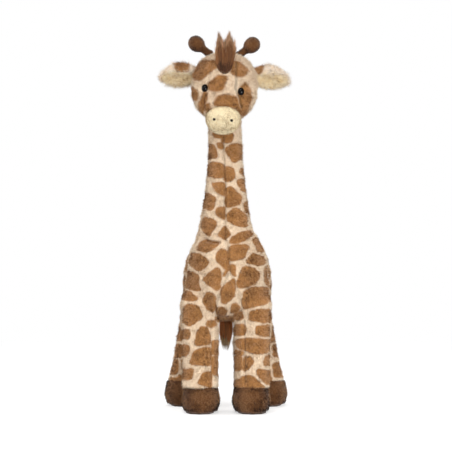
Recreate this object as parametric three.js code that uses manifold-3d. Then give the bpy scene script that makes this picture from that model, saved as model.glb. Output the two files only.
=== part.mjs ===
// A standing plush giraffe, sewn and stuffed: pile fabric covers over fibre stuffing,
// pellet pouches in the hooves, safety eyes with washers, and soft limbs that bend at their seams.
// Millimetres, +Z up, the face looks along -Y. The origin is on the floor, under the middle of the toy.
import * as THREE from 'three';
import { mergeVertices } from 'three/addons/utils/BufferGeometryUtils.js';
import Module from 'manifold-3d';

const wasm = await Module();
wasm.setup();

// Fabric and fits
const coverWall = 2.5;
const clearance = 0.3;
const overrun = 6;

// Torso: one swelling form, with a shoulder ball for the neck and a hip ball for each leg
const bellyHeight = 139;
const torsoRise = 113;
const torsoMiddleY = 9;
const torsoHalfWidth = 62.5;
const torsoBack = 96;
const torsoFront = 83;
const shoulderRadius = 53;
const shoulderY = -30;
const shoulderHeight = 227;
const neckOpeningRadius = 24;
const hipRadius = 29;
const hipX = 37;
const hipOpeningRadius = 12;
const frontHipY = -36;
const frontHipHeight = 158;
const rearHipY = 65;
const rearHipHeight = 160;

// Belly gusset: the panel between the legs, from a point on the chest to a point under the tail
const gussetHalfWidth = 16;
const gussetApexAngle = 8;
const gussetEndAngle = 172;

// Neck
const neckRise = 244;
const neckHalfWidth = 42;
const neckHalfDepth = 43;
const neckLeanAngle = -0.56;

// Head: a tilted egg on a ball, with the ball's centre as the head's pivot
const headBallRadius = 42;
const headOpeningRadius = 15;
const headForward = 22;
const headRise = 11;
const headTiltAngle = 50;
const headRollAngle = 1.96;
const headBack = 46;
const headFront = 52;
const headHalfWidth = 47;
const headHalfHeight = 44;

// Muzzle: a short pale cap sewn to the front of the head
const muzzleLength = 27;
const muzzleHalfWidth = 26.5;
const muzzleHalfHeight = 23;
const muzzleDrop = 7;
const nostrilX = 12.5;
const nostrilDrop = 0.5;
const nostrilRadius = 1.9;
const nostrilThickness = 1.2;
const mouthHalfWidth = 15;
const mouthDrop = 15;
const mouthLift = 3;
const stitchRadius = 0.6;

// Safety eyes
const eyeX = 26.6;
const eyeDrop = 5;
const eyeRadius = 5.6;
const eyeHeight = 4.2;
const eyeStemRadius = 2;
const eyeStemLength = 14;
const washerRadius = 6.5;
const washerThickness = 1.5;
const washerDepth = 1.2;

// Ears
const earLength = 50;
const earHalfHeight = 17.5;
const earHalfDepth = 6;
const earRootRadius = 7;
const earRootOut = 3.6;
const earRise = 16;
const earTipDrop = 5;
const earBack = 8;
const earLiningInset = 2.5;

// Horns
const hornLength = 26.5;
const hornBallRadius = 11.6;
const hornStalkRadius = 5.6;
const hornRootX = 21;
const hornRootBack = 4;
const hornSplayAngle = 43;
const hornWall = 1.8;
const hornRootOut = 1.2;

// Forelock and mane, long pile
const forelockHalfWidth = 15;
const forelockHalfDepth = 10;
const forelockBaseForward = 44;
const forelockBaseRise = 11;
const forelockTipForward = 22;
const forelockTipRise = 79;
const maneHalfWidth = 7;
const maneHalfDepth = 11;
const maneLowest = 40;
const maneBelowHead = 30;

// Legs, from the hip balls down to the hems
const legTopDrop = 14;
const legHalfWidth = 27;
const legHalfDepth = 27;
const frontFootX = 38.5;
const frontFootY = -37;
const rearFootX = 64;
const rearFootY = 68;

// Hooves
const hoofHeight = 37;
const hoofHalfWidth = 27;
const hoofHalfDepth = 30;
const hoofForward = 5;

// Tail: a sewn cord with a tassel of long pile
const tailCordRadius = 4.5;
const tailCordLength = 50;
const tasselHalfWidth = 10;
const tasselHalfDepth = 8;
const tasselLength = 50;

// Facets
const formSides = 18;
const limbSides = 14;
const seatSides = 28;
const smallSides = 10;
const coreSides = 8;
const coreRings = 6;
const weldDistance = 1e-4;

// Tables of shares: [place along the form, width, height above its middle, height below it]
const torsoShares = [
  [0, 0, 0, 0],
  [0.02, 0.4, 0.45, 0.45],
  [0.1, 0.77, 0.76, 0.84],
  [0.2, 0.94, 0.86, 0.97],
  [0.32, 1, 0.91, 1],
  [0.45, 1, 0.965, 0.976],
  [0.584, 0.976, 1, 0.925],
  [0.67, 0.936, 0.974, 0.873],
  [0.76, 0.9, 0.91, 0.8],
  [0.85, 0.84, 0.77, 0.7],
  [0.92, 0.7, 0.38, 0.58],
  [1, 0, 0, 0],
];
const torsoPowerShare = 2.3;
const tailRootShare = 0.46;
const neckTopShare = 0.6;
const neckShares = [
  [0, 1, 1, 1],
  [0.09, 0.9, 0.92, 0.92],
  [0.24, 0.775, 0.79, 0.8],
  [0.46, 0.66, 0.67, 0.68],
  [0.69, 0.575, 0.58, 0.6],
  [0.9, 0.545, 0.56, 0.515],
  [1, 0.55, 0.56, 0.5],
];
const headShares = [
  [0, 0, 0, 0],
  [0.02, 0.3, 0.3, 0.44],
  [0.08, 0.56, 0.56, 0.76],
  [0.2, 0.82, 0.82, 0.97],
  [0.38, 0.98, 0.98, 0.99],
  [0.52, 1, 0.99, 0.87],
  [0.67, 0.98, 0.88, 0.61],
  [0.8, 0.94, 0.73, 0.48],
  [0.92, 0.8, 0.57, 0.46],
  [1, 0.62, 0.5, 0.46],
];
const muzzleShares = [
  [0, 0.93, 0.93, 0.93],
  [0.15, 0.98, 0.98, 0.98],
  [0.35, 1, 1, 1],
  [0.6, 0.94, 0.93, 0.93],
  [0.8, 0.78, 0.76, 0.78],
  [0.93, 0.5, 0.5, 0.5],
  [1, 0, 0, 0],
];
const legShares = [
  [0, 0.79, 0.79, 0.79],
  [0.1, 0.85, 0.85, 0.85],
  [0.3, 0.97, 0.97, 0.97],
  [0.5, 1, 1, 1],
  [0.75, 0.95, 0.95, 0.95],
  [0.92, 0.97, 0.97, 0.97],
  [1, 1, 1, 1],
];
const hoofShares = [
  [0, 0.84, 0.77, 0.77],
  [0.12, 0.95, 0.87, 0.89],
  [0.35, 1.01, 0.96, 1],
  [0.65, 1, 0.97, 1],
  [0.88, 0.93, 0.9, 0.94],
  [1, 0.82, 0.82, 0.86],
];
const earShares = [
  [0, 0.36, 0.8, 0.8],
  [0.05, 0.41, 0.85, 0.85],
  [0.14, 0.68, 0.95, 0.95],
  [0.3, 0.95, 1, 1],
  [0.48, 1, 1, 1],
  [0.7, 0.86, 0.85, 0.85],
  [0.86, 0.55, 0.6, 0.6],
  [0.96, 0.28, 0.35, 0.35],
  [1, 0, 0, 0],
];
const forelockShares = [
  [0, 0, 0, 0],
  [0.04, 0.5, 0.5, 0.5],
  [0.13, 0.85, 0.85, 0.85],
  [0.35, 1, 1, 1],
  [0.65, 0.92, 0.9, 0.9],
  [0.85, 0.7, 0.65, 0.65],
  [1, 0.16, 0.16, 0.16],
];
const maneShares = [
  [0, 0, 0, 0],
  [0.04, 0.6, 0.6, 0.6],
  [0.15, 1, 1, 1],
  [0.85, 1, 1, 1],
  [0.96, 0.6, 0.6, 0.6],
  [1, 0, 0, 0],
];
const tasselShares = [
  [0, 0.42, 0.5, 0.5],
  [0.15, 0.75, 0.8, 0.8],
  [0.38, 1, 1, 1],
  [0.62, 0.85, 0.85, 0.85],
  [0.85, 0.42, 0.42, 0.42],
  [1, 0.08, 0.08, 0.08],
];
const gussetShares = [
  [0, 0.04],
  [0.14, 0.8],
  [0.22, 1],
  [0.34, 0.5],
  [0.48, 1],
  [0.66, 0.5],
  [0.84, 0.5],
  [1, 0.04],
];

// Colours of the real materials
const finishes = {
  patchedPlush: { color: 0xc79a6b, roughness: 0.95 },
  headPlush: { color: 0xcfa77c, roughness: 0.95 },
  hoofPlush: { color: 0x5a3c25, roughness: 0.9 },
  muzzlePlush: { color: 0xe3cf9f, roughness: 0.95 },
  earLiningPlush: { color: 0xd6bd90, roughness: 0.95 },
  longPile: { color: 0x8a6245, roughness: 0.85 },
  darkPile: { color: 0x4a2e1c, roughness: 0.85 },
  stitch: { color: 0x3a2517, roughness: 0.8 },
  fibre: { color: 0xf4f2ec, roughness: 1 },
  pouch: { color: 0xd8d4c8, roughness: 0.9 },
  eyePlastic: { color: 0x0c0b0a, roughness: 0.08 },
  washerPlastic: { color: 0xe8e6e0, roughness: 0.5 },
};

// Solid forms in and out of the boolean library
function toSolid(geometry) {
  const bare = geometry.clone();
  bare.deleteAttribute('normal');
  bare.deleteAttribute('uv');
  const merged = mergeVertices(bare, weldDistance);
  const vertProperties = new Float32Array(merged.attributes.position.array);
  const triVerts = new Uint32Array(merged.index.array);
  return new wasm.Manifold(new wasm.Mesh({ numProp: 3, vertProperties, triVerts }));
}

function toGeometry(solid) {
  const { vertProperties, triVerts } = solid.getMesh();
  const geometry = new THREE.BufferGeometry();
  geometry.setAttribute('position', new THREE.BufferAttribute(new Float32Array(vertProperties), 3));
  geometry.setIndex(new THREE.BufferAttribute(new Uint32Array(triVerts), 1));
  geometry.computeVertexNormals();
  return geometry;
}

function cut(geometry, ...tools) {
  return toGeometry(tools.reduce((solid, tool) => solid.subtract(toSolid(tool)), toSolid(geometry)));
}

function join(...geometries) {
  return toGeometry(geometries.map(toSolid).reduce((a, b) => a.add(b)));
}

function common(a, b) {
  return toGeometry(toSolid(a).intersect(toSolid(b)));
}

// A smooth value of each column at one place of a table of shares
function sharesAt(rows, place) {
  const t = THREE.MathUtils.clamp(place, rows[0][0], rows.at(-1)[0]);
  const last = rows.length - 2;
  const above = rows.findIndex((row) => row[0] > t);
  const i = above < 0 ? last : Math.max(0, above - 1);
  const at = (k) => rows[THREE.MathUtils.clamp(k, 0, rows.length - 1)];
  const [a, b] = [at(i), at(i + 1)];
  const span = b[0] - a[0];
  const u = (t - a[0]) / span;
  return a.slice(1).map((value, k) => {
    const slope = (p, q) => (q[0] === p[0] ? 0 : ((q[k + 1] - p[k + 1]) / (q[0] - p[0])) * span);
    const out = i === 0 ? slope(a, b) : slope(at(i - 1), b);
    const into = i === last ? slope(a, b) : slope(a, at(i + 2));
    const step = b[k + 1] - value;
    return value + u * (out + u * (3 * step - 2 * out - into + u * (out + into - 2 * step)));
  });
}

// A closed form through rings of equal count, with a fan over each end
function loftRings(rings) {
  const sides = rings[0].length;
  const points = rings.flat();
  const middle = (ring) => ring.reduce((sum, p) => sum.add(p), new THREE.Vector3()).divideScalar(sides);
  const first = points.push(middle(rings[0])) - 1;
  const final = points.push(middle(rings.at(-1))) - 1;
  const faces = [];
  for (let i = 0; i < sides; i += 1) {
    const j = (i + 1) % sides;
    const end = (rings.length - 1) * sides;
    faces.push(first, j, i, final, end + i, end + j);
    for (let r = 0; r < rings.length - 1; r += 1) {
      const [a, b] = [r * sides, (r + 1) * sides];
      faces.push(a + i, a + j, b + j, a + i, b + j, b + i);
    }
  }
  const geometry = new THREE.BufferGeometry().setFromPoints(points);
  geometry.setIndex(faces);
  geometry.computeVertexNormals();
  return geometry;
}

// A stuffed form: oval rings square to `along`, swelling and tapering by a table of shares.
// `inset` makes the same form smaller all round; `spill` runs it past both open ends.
function stuffedForm(form, inset = 0, spill = 0, sides = form.sides, rings = form.rings) {
  const { from, to, halfWidth, halfUp, halfDown = halfUp, shares, power = 2, bow } = form;
  const across = form.across ?? new THREE.Vector3(1, 0, 0);
  const along = (form.along ?? new THREE.Vector3().subVectors(to, from)).clone().normalize();
  const up = new THREE.Vector3().crossVectors(along, across).normalize();
  const poles = [shares[0][1] === 0, shares.at(-1)[1] === 0];
  const trim = poles.map((isPole) => (isPole ? inset / from.distanceTo(to) : 0));
  const round = (v) => Math.sign(v) * Math.abs(v) ** (2 / power);
  const ease = (even) => {
    if (poles[0] && poles[1]) return (1 - Math.cos(Math.PI * even)) / 2;
    if (poles[0]) return 1 - Math.cos((Math.PI * even) / 2);
    return poles[1] ? Math.sin((Math.PI * even) / 2) : even;
  };
  const ringAt = (place, run = 0) => {
    const [w, u, d] = sharesAt(shares, place);
    const centre = from.clone().lerp(to, trim[0] + (1 - trim[0] - trim[1]) * place);
    centre.addScaledVector(along, run).add(bow ? bow(place) : new THREE.Vector3());
    return Array.from({ length: sides }, (_, i) => {
      const angle = (i / sides) * Math.PI * 2;
      const [c, s] = [round(Math.cos(angle)), round(Math.sin(angle))];
      const tall = s > 0 ? halfUp * u : halfDown * d;
      const [a, b] = [halfWidth * w, tall].map((half) => Math.max(half - inset, inset));
      return centre.clone().addScaledVector(across, a * c).addScaledVector(up, b * s);
    });
  };
  const outline = [];
  for (let r = poles[0] ? 1 : 0; r <= (poles[1] ? rings - 1 : rings); r += 1) {
    outline.push(ringAt(ease(r / rings)));
  }
  if (spill && !poles[0]) outline.unshift(ringAt(0, -spill));
  if (spill && !poles[1]) outline.push(ringAt(1, spill));
  return loftRings(outline);
}

function ball(radius, centre, sides = limbSides) {
  const geometry = new THREE.SphereGeometry(radius, sides, Math.round(sides / 2));
  geometry.rotateX(Math.PI / 2);
  return geometry.translate(centre.x, centre.y, centre.z);
}

// A round rod between two points
function rod(radius, from, to, sides = limbSides) {
  const geometry = new THREE.CylinderGeometry(radius, radius, from.distanceTo(to), sides);
  const turn = new THREE.Quaternion().setFromUnitVectors(
    new THREE.Vector3(0, 1, 0), new THREE.Vector3().subVectors(to, from).normalize());
  const middle = from.clone().lerp(to, 1 / 2);
  return geometry.applyQuaternion(turn).translate(middle.x, middle.y, middle.z);
}

// The outermost point of a form on a line that leaves a place in one direction, and its normal
function surfacePoint(geometry, place, direction) {
  const probe = new THREE.Mesh(geometry, new THREE.MeshBasicMaterial({ side: THREE.DoubleSide }));
  const ray = new THREE.Raycaster(place, direction.clone().normalize());
  const hit = ray.intersectObject(probe).at(-1);
  return { point: hit.point, normal: hit.face.normal.clone() };
}

// Meshes and groups
const vector = (x, y, z) => new THREE.Vector3(x, y, z);
const origin = vector(0, 0, 0);
const below = (place, distance) => place.clone().add(vector(0, 0, -distance));

function piece(parent, name, geometry, finish) {
  const material = new THREE.MeshStandardMaterial({ ...finish, metalness: 0 });
  const mesh = new THREE.Mesh(geometry, material);
  mesh.name = name;
  parent.add(mesh);
  return mesh;
}

function groupAt(parent, name, place, turnY = 0) {
  const group = new THREE.Group();
  group.name = name;
  group.position.copy(place);
  group.rotation.y = THREE.MathUtils.degToRad(turnY);
  parent.add(group);
  return group;
}

// A socket for a ball in a facing form: its flats stay outside the ball as it turns
const seatFor = (radius, centre, count = seatSides) => ball(
  (radius + clearance) / Math.cos(Math.PI / count) ** 2, centre, count);

const giraffe = new THREE.Group();
giraffe.name = 'plush_giraffe';
const sides = [['right', -1], ['left', 1]];
const legs = [
  ['front', frontHipY, frontHipHeight, frontFootX, frontFootY],
  ['rear', rearHipY, rearHipHeight, rearFootX, rearFootY],
].flatMap(([end, hipY, hipHeight, footX, footY]) => sides.map(([side, sign]) => ({
  name: `${end}_${side}`,
  hip: vector(sign * hipX, hipY, hipHeight),
  foot: vector(sign * footX, footY, hoofHeight + clearance),
})));

// Torso: cover, belly gusset and stuffing
const shoulder = vector(0, shoulderY, shoulderHeight);
const barrel = {
  from: vector(0, torsoMiddleY, bellyHeight),
  to: vector(0, torsoMiddleY, bellyHeight + torsoRise),
  halfWidth: torsoHalfWidth,
  halfUp: torsoBack,
  halfDown: torsoFront,
  shares: torsoShares,
  power: torsoPowerShare,
  bow: (place) => vector(0, (shoulderY - torsoMiddleY) * place ** 2, 0),
  sides: formSides,
  rings: 11,
};

function torsoForm(inset, count, rings) {
  return join(
    stuffedForm(barrel, inset, 0, count, rings),
    ball(shoulderRadius - inset, shoulder, count),
    ...legs.map(({ hip }) => ball(hipRadius - inset, hip, Math.min(count, limbSides))));
}

// The gusset's cutting form: a band that turns about the torso's middle and swells by its shares
function gussetBand(extra) {
  const middle = vector(0, torsoMiddleY, bellyHeight + torsoRise / 2);
  const rings = [];
  const steps = 10;
  for (let i = 0; i <= steps; i += 1) {
    const angle = THREE.MathUtils.degToRad(
      THREE.MathUtils.lerp(gussetApexAngle, gussetEndAngle, i / steps));
    const out = vector(0, -Math.cos(angle), -Math.sin(angle));
    const half = gussetHalfWidth * sharesAt(gussetShares, i / steps)[0] + extra;
    const near = middle.clone().addScaledVector(out, coverWall);
    const far = middle.clone().addScaledVector(out, torsoBack + torsoFront);
    rings.push([[-half, near], [half, near], [half, far], [-half, far]]
      .map(([x, p]) => vector(x, p.y, p.z)));
  }
  return loftRings(rings);
}

const torsoOuter = torsoForm(0, formSides, barrel.rings);
const torsoShell = cut(
  torsoOuter,
  torsoForm(coverWall, coreSides, coreRings),
  rod(neckOpeningRadius, shoulder, below(shoulder, -shoulderRadius - overrun)),
  ...legs.map(({ hip }) => rod(hipOpeningRadius, hip, below(hip, hipRadius + overrun), coreSides)));
piece(giraffe, 'torso_cover', cut(torsoShell, gussetBand(clearance)), finishes.patchedPlush);
piece(giraffe, 'belly_gusset', common(torsoShell, gussetBand(0)), finishes.patchedPlush);
piece(giraffe, 'torso_stuffing',
  torsoForm(coverWall + clearance, coreSides, coreRings), finishes.fibre);

// Neck: rests on the shoulder ball, and the head's ball rests in its top
const neck = groupAt(giraffe, 'neck_pivot', shoulder, neckLeanAngle);
const headPivot = vector(0, 0, neckRise);
const neckForm = {
  from: vector(0, 0, shoulderRadius / 2),
  to: below(headPivot, headBallRadius * neckTopShare),
  along: vector(0, 0, 1),
  halfWidth: neckHalfWidth,
  halfUp: neckHalfDepth,
  shares: neckShares,
  sides: formSides,
  rings: 8,
};
const neckSeats = (count) => [
  seatFor(shoulderRadius, origin, count),
  seatFor(headBallRadius, headPivot, count),
];
const neckOuter = stuffedForm(neckForm);
piece(neck, 'neck_cover',
  cut(neckOuter, stuffedForm(neckForm, coverWall, overrun, coreSides, coreRings), ...neckSeats()),
  finishes.patchedPlush);
piece(neck, 'neck_stuffing',
  cut(stuffedForm(neckForm, coverWall + clearance, overrun, coreSides, coreRings), ...neckSeats(limbSides)),
  finishes.fibre);

// Mane: a strip of long pile along the back of the neck
const maneTop = neckRise - maneBelowHead;
const backOfNeck = (z) => surfacePoint(neckOuter, vector(0, 0, z), vector(0, 1, 0)).point;
const maneForm = {
  from: backOfNeck(maneLowest),
  to: backOfNeck(maneTop),
  halfWidth: maneHalfWidth,
  halfUp: maneHalfDepth,
  shares: maneShares,
  bow: (place) => {
    const z = THREE.MathUtils.lerp(maneLowest, maneTop, place);
    const straight = THREE.MathUtils.lerp(backOfNeck(maneLowest).y, backOfNeck(maneTop).y, place);
    return vector(0, backOfNeck(z).y - straight, 0);
  },
  sides: coreSides,
  rings: 10,
};
piece(neck, 'mane',
  cut(
    stuffedForm(maneForm),
    stuffedForm(neckForm, -clearance),
    seatFor(headBallRadius, headPivot, limbSides)),
  finishes.longPile);

// Head: an egg on its ball, with sockets for the ears and horns
const head = groupAt(neck, 'head_pivot', headPivot, headRollAngle);
const headMiddle = vector(0, -headForward, headRise);
const tilt = THREE.MathUtils.degToRad(headTiltAngle);
const forward = vector(0, -Math.cos(tilt), -Math.sin(tilt));
const upward = vector(0, -Math.sin(tilt), Math.cos(tilt));
const onHeadAxis = (distance) => headMiddle.clone().addScaledVector(forward, distance);
const fromHeadMiddle = (x, y, z) => vector(x, y, z).add(headMiddle);
const headForm = {
  from: onHeadAxis(-headBack),
  to: onHeadAxis(headFront),
  across: vector(-1, 0, 0),
  halfWidth: headHalfWidth,
  halfUp: headHalfHeight,
  shares: headShares,
  sides: formSides,
  rings: 10,
};
const headEgg = stuffedForm(headForm);
const headHoles = [];
const stuffingHoles = [];

// Muzzle
const muzzleForm = {
  from: onHeadAxis(headFront + clearance).addScaledVector(upward, -muzzleDrop / 2),
  to: onHeadAxis(headFront + muzzleLength).addScaledVector(upward, -muzzleDrop),
  along: forward,
  across: vector(-1, 0, 0),
  halfWidth: muzzleHalfWidth,
  halfUp: muzzleHalfHeight,
  shares: muzzleShares,
  sides: formSides,
  rings: 7,
};
const muzzleOuter = stuffedForm(muzzleForm);
const muzzleMiddle = muzzleForm.from.clone().lerp(muzzleForm.to, 1 / 2);
piece(head, 'muzzle_cover',
  cut(muzzleOuter, stuffedForm(muzzleForm, coverWall, overrun, coreSides, coreRings)),
  finishes.muzzlePlush);
piece(head, 'muzzle_stuffing',
  stuffedForm(muzzleForm, coverWall + clearance, 0, coreSides, coreRings),
  finishes.fibre);

// Safety eyes: a glossy dome on a stem, held by a washer inside the cover
const turnedTo = (geometry, seat) => geometry
  .applyQuaternion(new THREE.Quaternion().setFromUnitVectors(vector(0, 1, 0), seat.normal))
  .translate(seat.point.x, seat.point.y, seat.point.z);
const domeShares = [[0, -0.3], [1, -0.3], [1, 0.25], [0.88, 0.58], [0.6, 0.86], [0, 1]];
const domeProfile = domeShares.map(([r, h]) => new THREE.Vector2(eyeRadius * r, eyeHeight * h));
for (const [side, sign] of sides) {
  const seat = surfacePoint(headEgg, fromHeadMiddle(sign * eyeX, 0, -eyeDrop), vector(0, -1, 0));
  const at = (depth) => seat.point.clone().addScaledVector(seat.normal, -depth);
  const dome = cut(
    turnedTo(new THREE.LatheGeometry(domeProfile, limbSides), seat),
    stuffedForm(headForm, -clearance));
  const stem = rod(eyeStemRadius, at(eyeStemLength), at(-eyeHeight / 2), smallSides);
  piece(head, `eye_${side}`, join(dome, stem), finishes.eyePlastic);
  const washerTop = coverWall + washerDepth;
  const washerFloor = washerTop + washerThickness;
  const stemHole = rod(eyeStemRadius + clearance, at(eyeStemLength + clearance), at(-overrun), smallSides);
  piece(head, `eye_washer_${side}`,
    cut(rod(washerRadius, at(washerFloor), at(washerTop), smallSides), stemHole), finishes.washerPlastic);
  headHoles.push(rod(eyeStemRadius + clearance, at(washerTop), at(-overrun), smallSides));
  stuffingHoles.push(stemHole);
  stuffingHoles.push(
    rod(washerRadius + clearance, at(washerFloor + clearance), at(-overrun), smallSides));
}

// Nostrils and mouth: satin stitch on the muzzle
const nostrilShares = [[0, 0], [1, 0], [0.85, 0.6], [0, 1]];
for (const [side, sign] of sides) {
  const seat = surfacePoint(
    muzzleOuter, muzzleMiddle.clone().add(vector(sign * nostrilX, 0, -nostrilDrop)), forward);
  seat.point.addScaledVector(seat.normal, clearance);
  const dot = new THREE.LatheGeometry(
    nostrilShares.map(([r, h]) => new THREE.Vector2(nostrilRadius * r, nostrilThickness * h)), coreSides);
  piece(head, `nostril_${side}`, turnedTo(dot, seat), finishes.stitch);
}
const mouthShares = [-1, -0.67, -0.33, 0, 0.33, 0.67, 1];
const mouthPoints = mouthShares.map((share) => {
  const start = muzzleMiddle.clone().add(
    vector(share * mouthHalfWidth, 0, mouthLift * share ** 2 - mouthDrop));
  const { point, normal } = surfacePoint(muzzleOuter, start, vector(0, -1, 0));
  return point.addScaledVector(normal, stitchRadius + clearance);
});
const stitchSection = new THREE.Shape().absarc(0, 0, stitchRadius, 0, Math.PI * 2);
piece(head, 'mouth_stitch', new THREE.ExtrudeGeometry(stitchSection, {
  steps: 8,
  curveSegments: 3,
  extrudePath: new THREE.CatmullRomCurve3(mouthPoints),
}), finishes.stitch);

// Ears: an outer cover that wraps the edges, and a lining in its hollow front
for (const [side, sign] of sides) {
  const root = surfacePoint(headEgg, headMiddle, vector(sign * headHalfWidth, earBack, earRise)).point
    .add(vector(sign * earRootOut, 0, 0));
  const ear = groupAt(head, `ear_pivot_${side}`, root);
  const droop = (x) => vector(0, 0, -earTipDrop * (x / earLength) ** 2);
  const earMiddle = (start, end) => {
    const [from, to] = [start, end].map((x) => vector(sign * x, 0, 0).add(droop(x)));
    const bow = (place) => droop(start + (end - start) * place).sub(droop(start).lerp(droop(end), place));
    return { from, to, bow };
  };
  const earForm = {
    ...earMiddle(0, earLength),
    along: vector(sign, 0, 0),
    across: vector(0, 0, sign),
    halfWidth: earHalfHeight,
    halfUp: earHalfDepth,
    shares: earShares,
    sides: limbSides,
    rings: 8,
  };
  const liningForm = {
    ...earForm,
    ...earMiddle(earRootRadius, earLength - earLiningInset),
    halfWidth: earHalfHeight - earLiningInset,
  };
  const hollowForm = {
    ...liningForm,
    ...earMiddle(earRootRadius - clearance, earLength - earLiningInset + clearance),
    halfWidth: liningForm.halfWidth + clearance * 2,
    halfUp: earHalfDepth * 2,
  };
  const front = new THREE.BoxGeometry(earLength * 2, earHalfDepth * 4, earHalfHeight * 4)
    .translate(0, -earHalfDepth * 2, 0);
  const hollow = common(stuffedForm(hollowForm, 0, 0, smallSides), front);
  const lining = common(
    stuffedForm(liningForm, 0, 0, smallSides), front.translate(0, -clearance, 0));
  piece(ear, `ear_cover_${side}`,
    join(cut(stuffedForm(earForm), hollow), ball(earRootRadius, origin, smallSides)), finishes.headPlush);
  piece(ear, `ear_lining_${side}`, lining, finishes.earLiningPlush);
  headHoles.push(seatFor(earRootRadius, root, smallSides));
  stuffingHoles.push(seatFor(earRootRadius, root, smallSides));
}

// Horns: a stalk and a ball end, turned about the horn's own axis
function hornProfile(inset) {
  const [knob, stalk] = [hornBallRadius - inset, hornStalkRadius - inset];
  const stop = Math.PI - Math.asin(stalk / knob);
  const steps = 6;
  const arc = Array.from({ length: steps + 1 }, (_, i) => {
    const angle = (i / steps) * stop;
    return new THREE.Vector2(i === 0 ? 0 : knob * Math.sin(angle), hornLength + knob * Math.cos(angle));
  });
  return [...arc, new THREE.Vector2(stalk, 0)];
}
for (const [side, sign] of sides) {
  const towards = vector(sign * hornRootX, hornRootBack, headHalfHeight);
  const root = surfacePoint(headEgg, headMiddle, towards).point
    .addScaledVector(towards.normalize(), hornRootOut);
  const horn = groupAt(head, `horn_pivot_${side}`, root, sign * hornSplayAngle);
  const shell = [...hornProfile(hornWall), ...hornProfile(0).reverse()];
  const core = [new THREE.Vector2(0, -hornStalkRadius / 2), ...hornProfile(hornWall + clearance).reverse()];
  const turned = (profile, count) => new THREE.LatheGeometry(profile, count).rotateX(Math.PI / 2);
  piece(horn, `horn_cover_${side}`, turned(shell, smallSides), finishes.hoofPlush);
  piece(horn, `horn_stuffing_${side}`, turned(core, smallSides), finishes.fibre);
  headHoles.push(seatFor(hornStalkRadius, root, smallSides));
  stuffingHoles.push(seatFor(hornStalkRadius, root, smallSides));
}

// The head's cover and stuffing, with every opening and socket in them
const headBody = (inset, spill, count, rings) => join(
  stuffedForm(headForm, inset, spill, count, rings),
  ball(headBallRadius - inset, origin, count));
piece(head, 'head_cover', cut(
  headBody(0, 0, formSides, headForm.rings),
  headBody(coverWall, overrun, smallSides, headForm.rings),
  rod(headOpeningRadius, origin, below(origin, headBallRadius + overrun), smallSides),
  ...headHoles), finishes.headPlush);
piece(head, 'head_stuffing',
  cut(headBody(coverWall + clearance, 0, smallSides, headForm.rings), ...stuffingHoles), finishes.fibre);

// Forelock: a tuft of long pile that stands up from the forehead
const forelockForm = {
  from: fromHeadMiddle(0, -forelockBaseForward, forelockBaseRise),
  to: fromHeadMiddle(0, -forelockTipForward, forelockTipRise),
  across: vector(-1, 0, 0),
  halfWidth: forelockHalfWidth,
  halfUp: forelockHalfDepth,
  shares: forelockShares,
  sides: smallSides,
  rings: 9,
};
piece(head, 'forelock', cut(stuffedForm(forelockForm), stuffedForm(headForm, -clearance)), finishes.longPile);

// Legs and hooves: each leg hangs from its hip ball, with a pellet pouch in the hoof
for (const { name, hip, foot } of legs) {
  const leg = groupAt(giraffe, `hip_${name}`, hip);
  const ankle = foot.clone().sub(hip);
  const legForm = {
    from: ankle.clone().multiplyScalar(-legTopDrop / ankle.z),
    to: ankle,
    along: vector(0, 0, -1),
    halfWidth: legHalfWidth,
    halfUp: legHalfDepth,
    shares: legShares,
    sides: limbSides,
    rings: 6,
  };
  piece(leg, `leg_cover_${name}`, cut(
    stuffedForm(legForm),
    stuffedForm(legForm, coverWall, overrun, coreSides, coreRings),
    seatFor(hipRadius, origin)), finishes.patchedPlush);
  piece(leg, `leg_stuffing_${name}`, cut(
    stuffedForm(legForm, coverWall + clearance, 0, coreSides, coreRings),
    seatFor(hipRadius, origin, limbSides)), finishes.fibre);
  const floor = below(ankle, hoofHeight + clearance);
  const hoofForm = {
    from: floor,
    to: below(ankle, clearance),
    halfWidth: hoofHalfWidth,
    halfUp: hoofHalfDepth,
    shares: hoofShares,
    bow: (place) => vector(0, -hoofForward * (1 - place) ** 2, 0),
    sides: limbSides,
    rings: 5,
  };
  const hoofInner = (inset, spill) => stuffedForm(hoofForm, inset, spill, coreSides, coreRings);
  const slab = (low, high) => rod(hoofHalfDepth * 2, below(floor, -low), below(floor, -high), smallSides);
  piece(leg, `hoof_cover_${name}`,
    cut(stuffedForm(hoofForm), hoofInner(coverWall, overrun)), finishes.hoofPlush);
  piece(leg, `hoof_sole_${name}`,
    common(hoofInner(coverWall + clearance, 0), slab(-overrun, coverWall)), finishes.hoofPlush);
  piece(leg, `hoof_pouch_${name}`,
    common(hoofInner(coverWall + clearance, 0), slab(coverWall + clearance, hoofHeight + overrun)),
    finishes.pouch);
}

// Tail: hangs from the rearmost point of the rump
const tailHeight = bellyHeight + torsoRise * tailRootShare;
const rump = surfacePoint(torsoOuter, vector(0, torsoMiddleY, tailHeight), vector(0, 1, 0)).point;
const tail = groupAt(giraffe, 'tail_pivot', rump.add(vector(0, tailCordRadius + clearance, 0)));
const cordEnd = below(origin, tailCordLength);
piece(tail, 'tail_cord',
  join(ball(tailCordRadius, origin, smallSides), rod(tailCordRadius, origin, cordEnd, smallSides)),
  finishes.headPlush);
piece(tail, 'tail_tassel', stuffedForm({
  from: below(cordEnd, clearance),
  to: below(cordEnd, clearance + tasselLength),
  halfWidth: tasselHalfWidth,
  halfUp: tasselHalfDepth,
  shares: tasselShares,
  sides: smallSides,
  rings: 8,
}), finishes.darkPile);

export default giraffe;
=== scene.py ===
# %% [markdown]
# This lesson dresses a standing plush giraffe. The toy is sewn from short pile fabric in cream with
# caramel patches, stuffed tight, and finished with dark hooves, soft horns, a long forelock, a mane and
# a tassel. The frame brings the toy's real sizes and its moving bodies, so every piece is made in
# place, in metres, with the face towards -Y.

# %% Load the frame
import math

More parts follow.
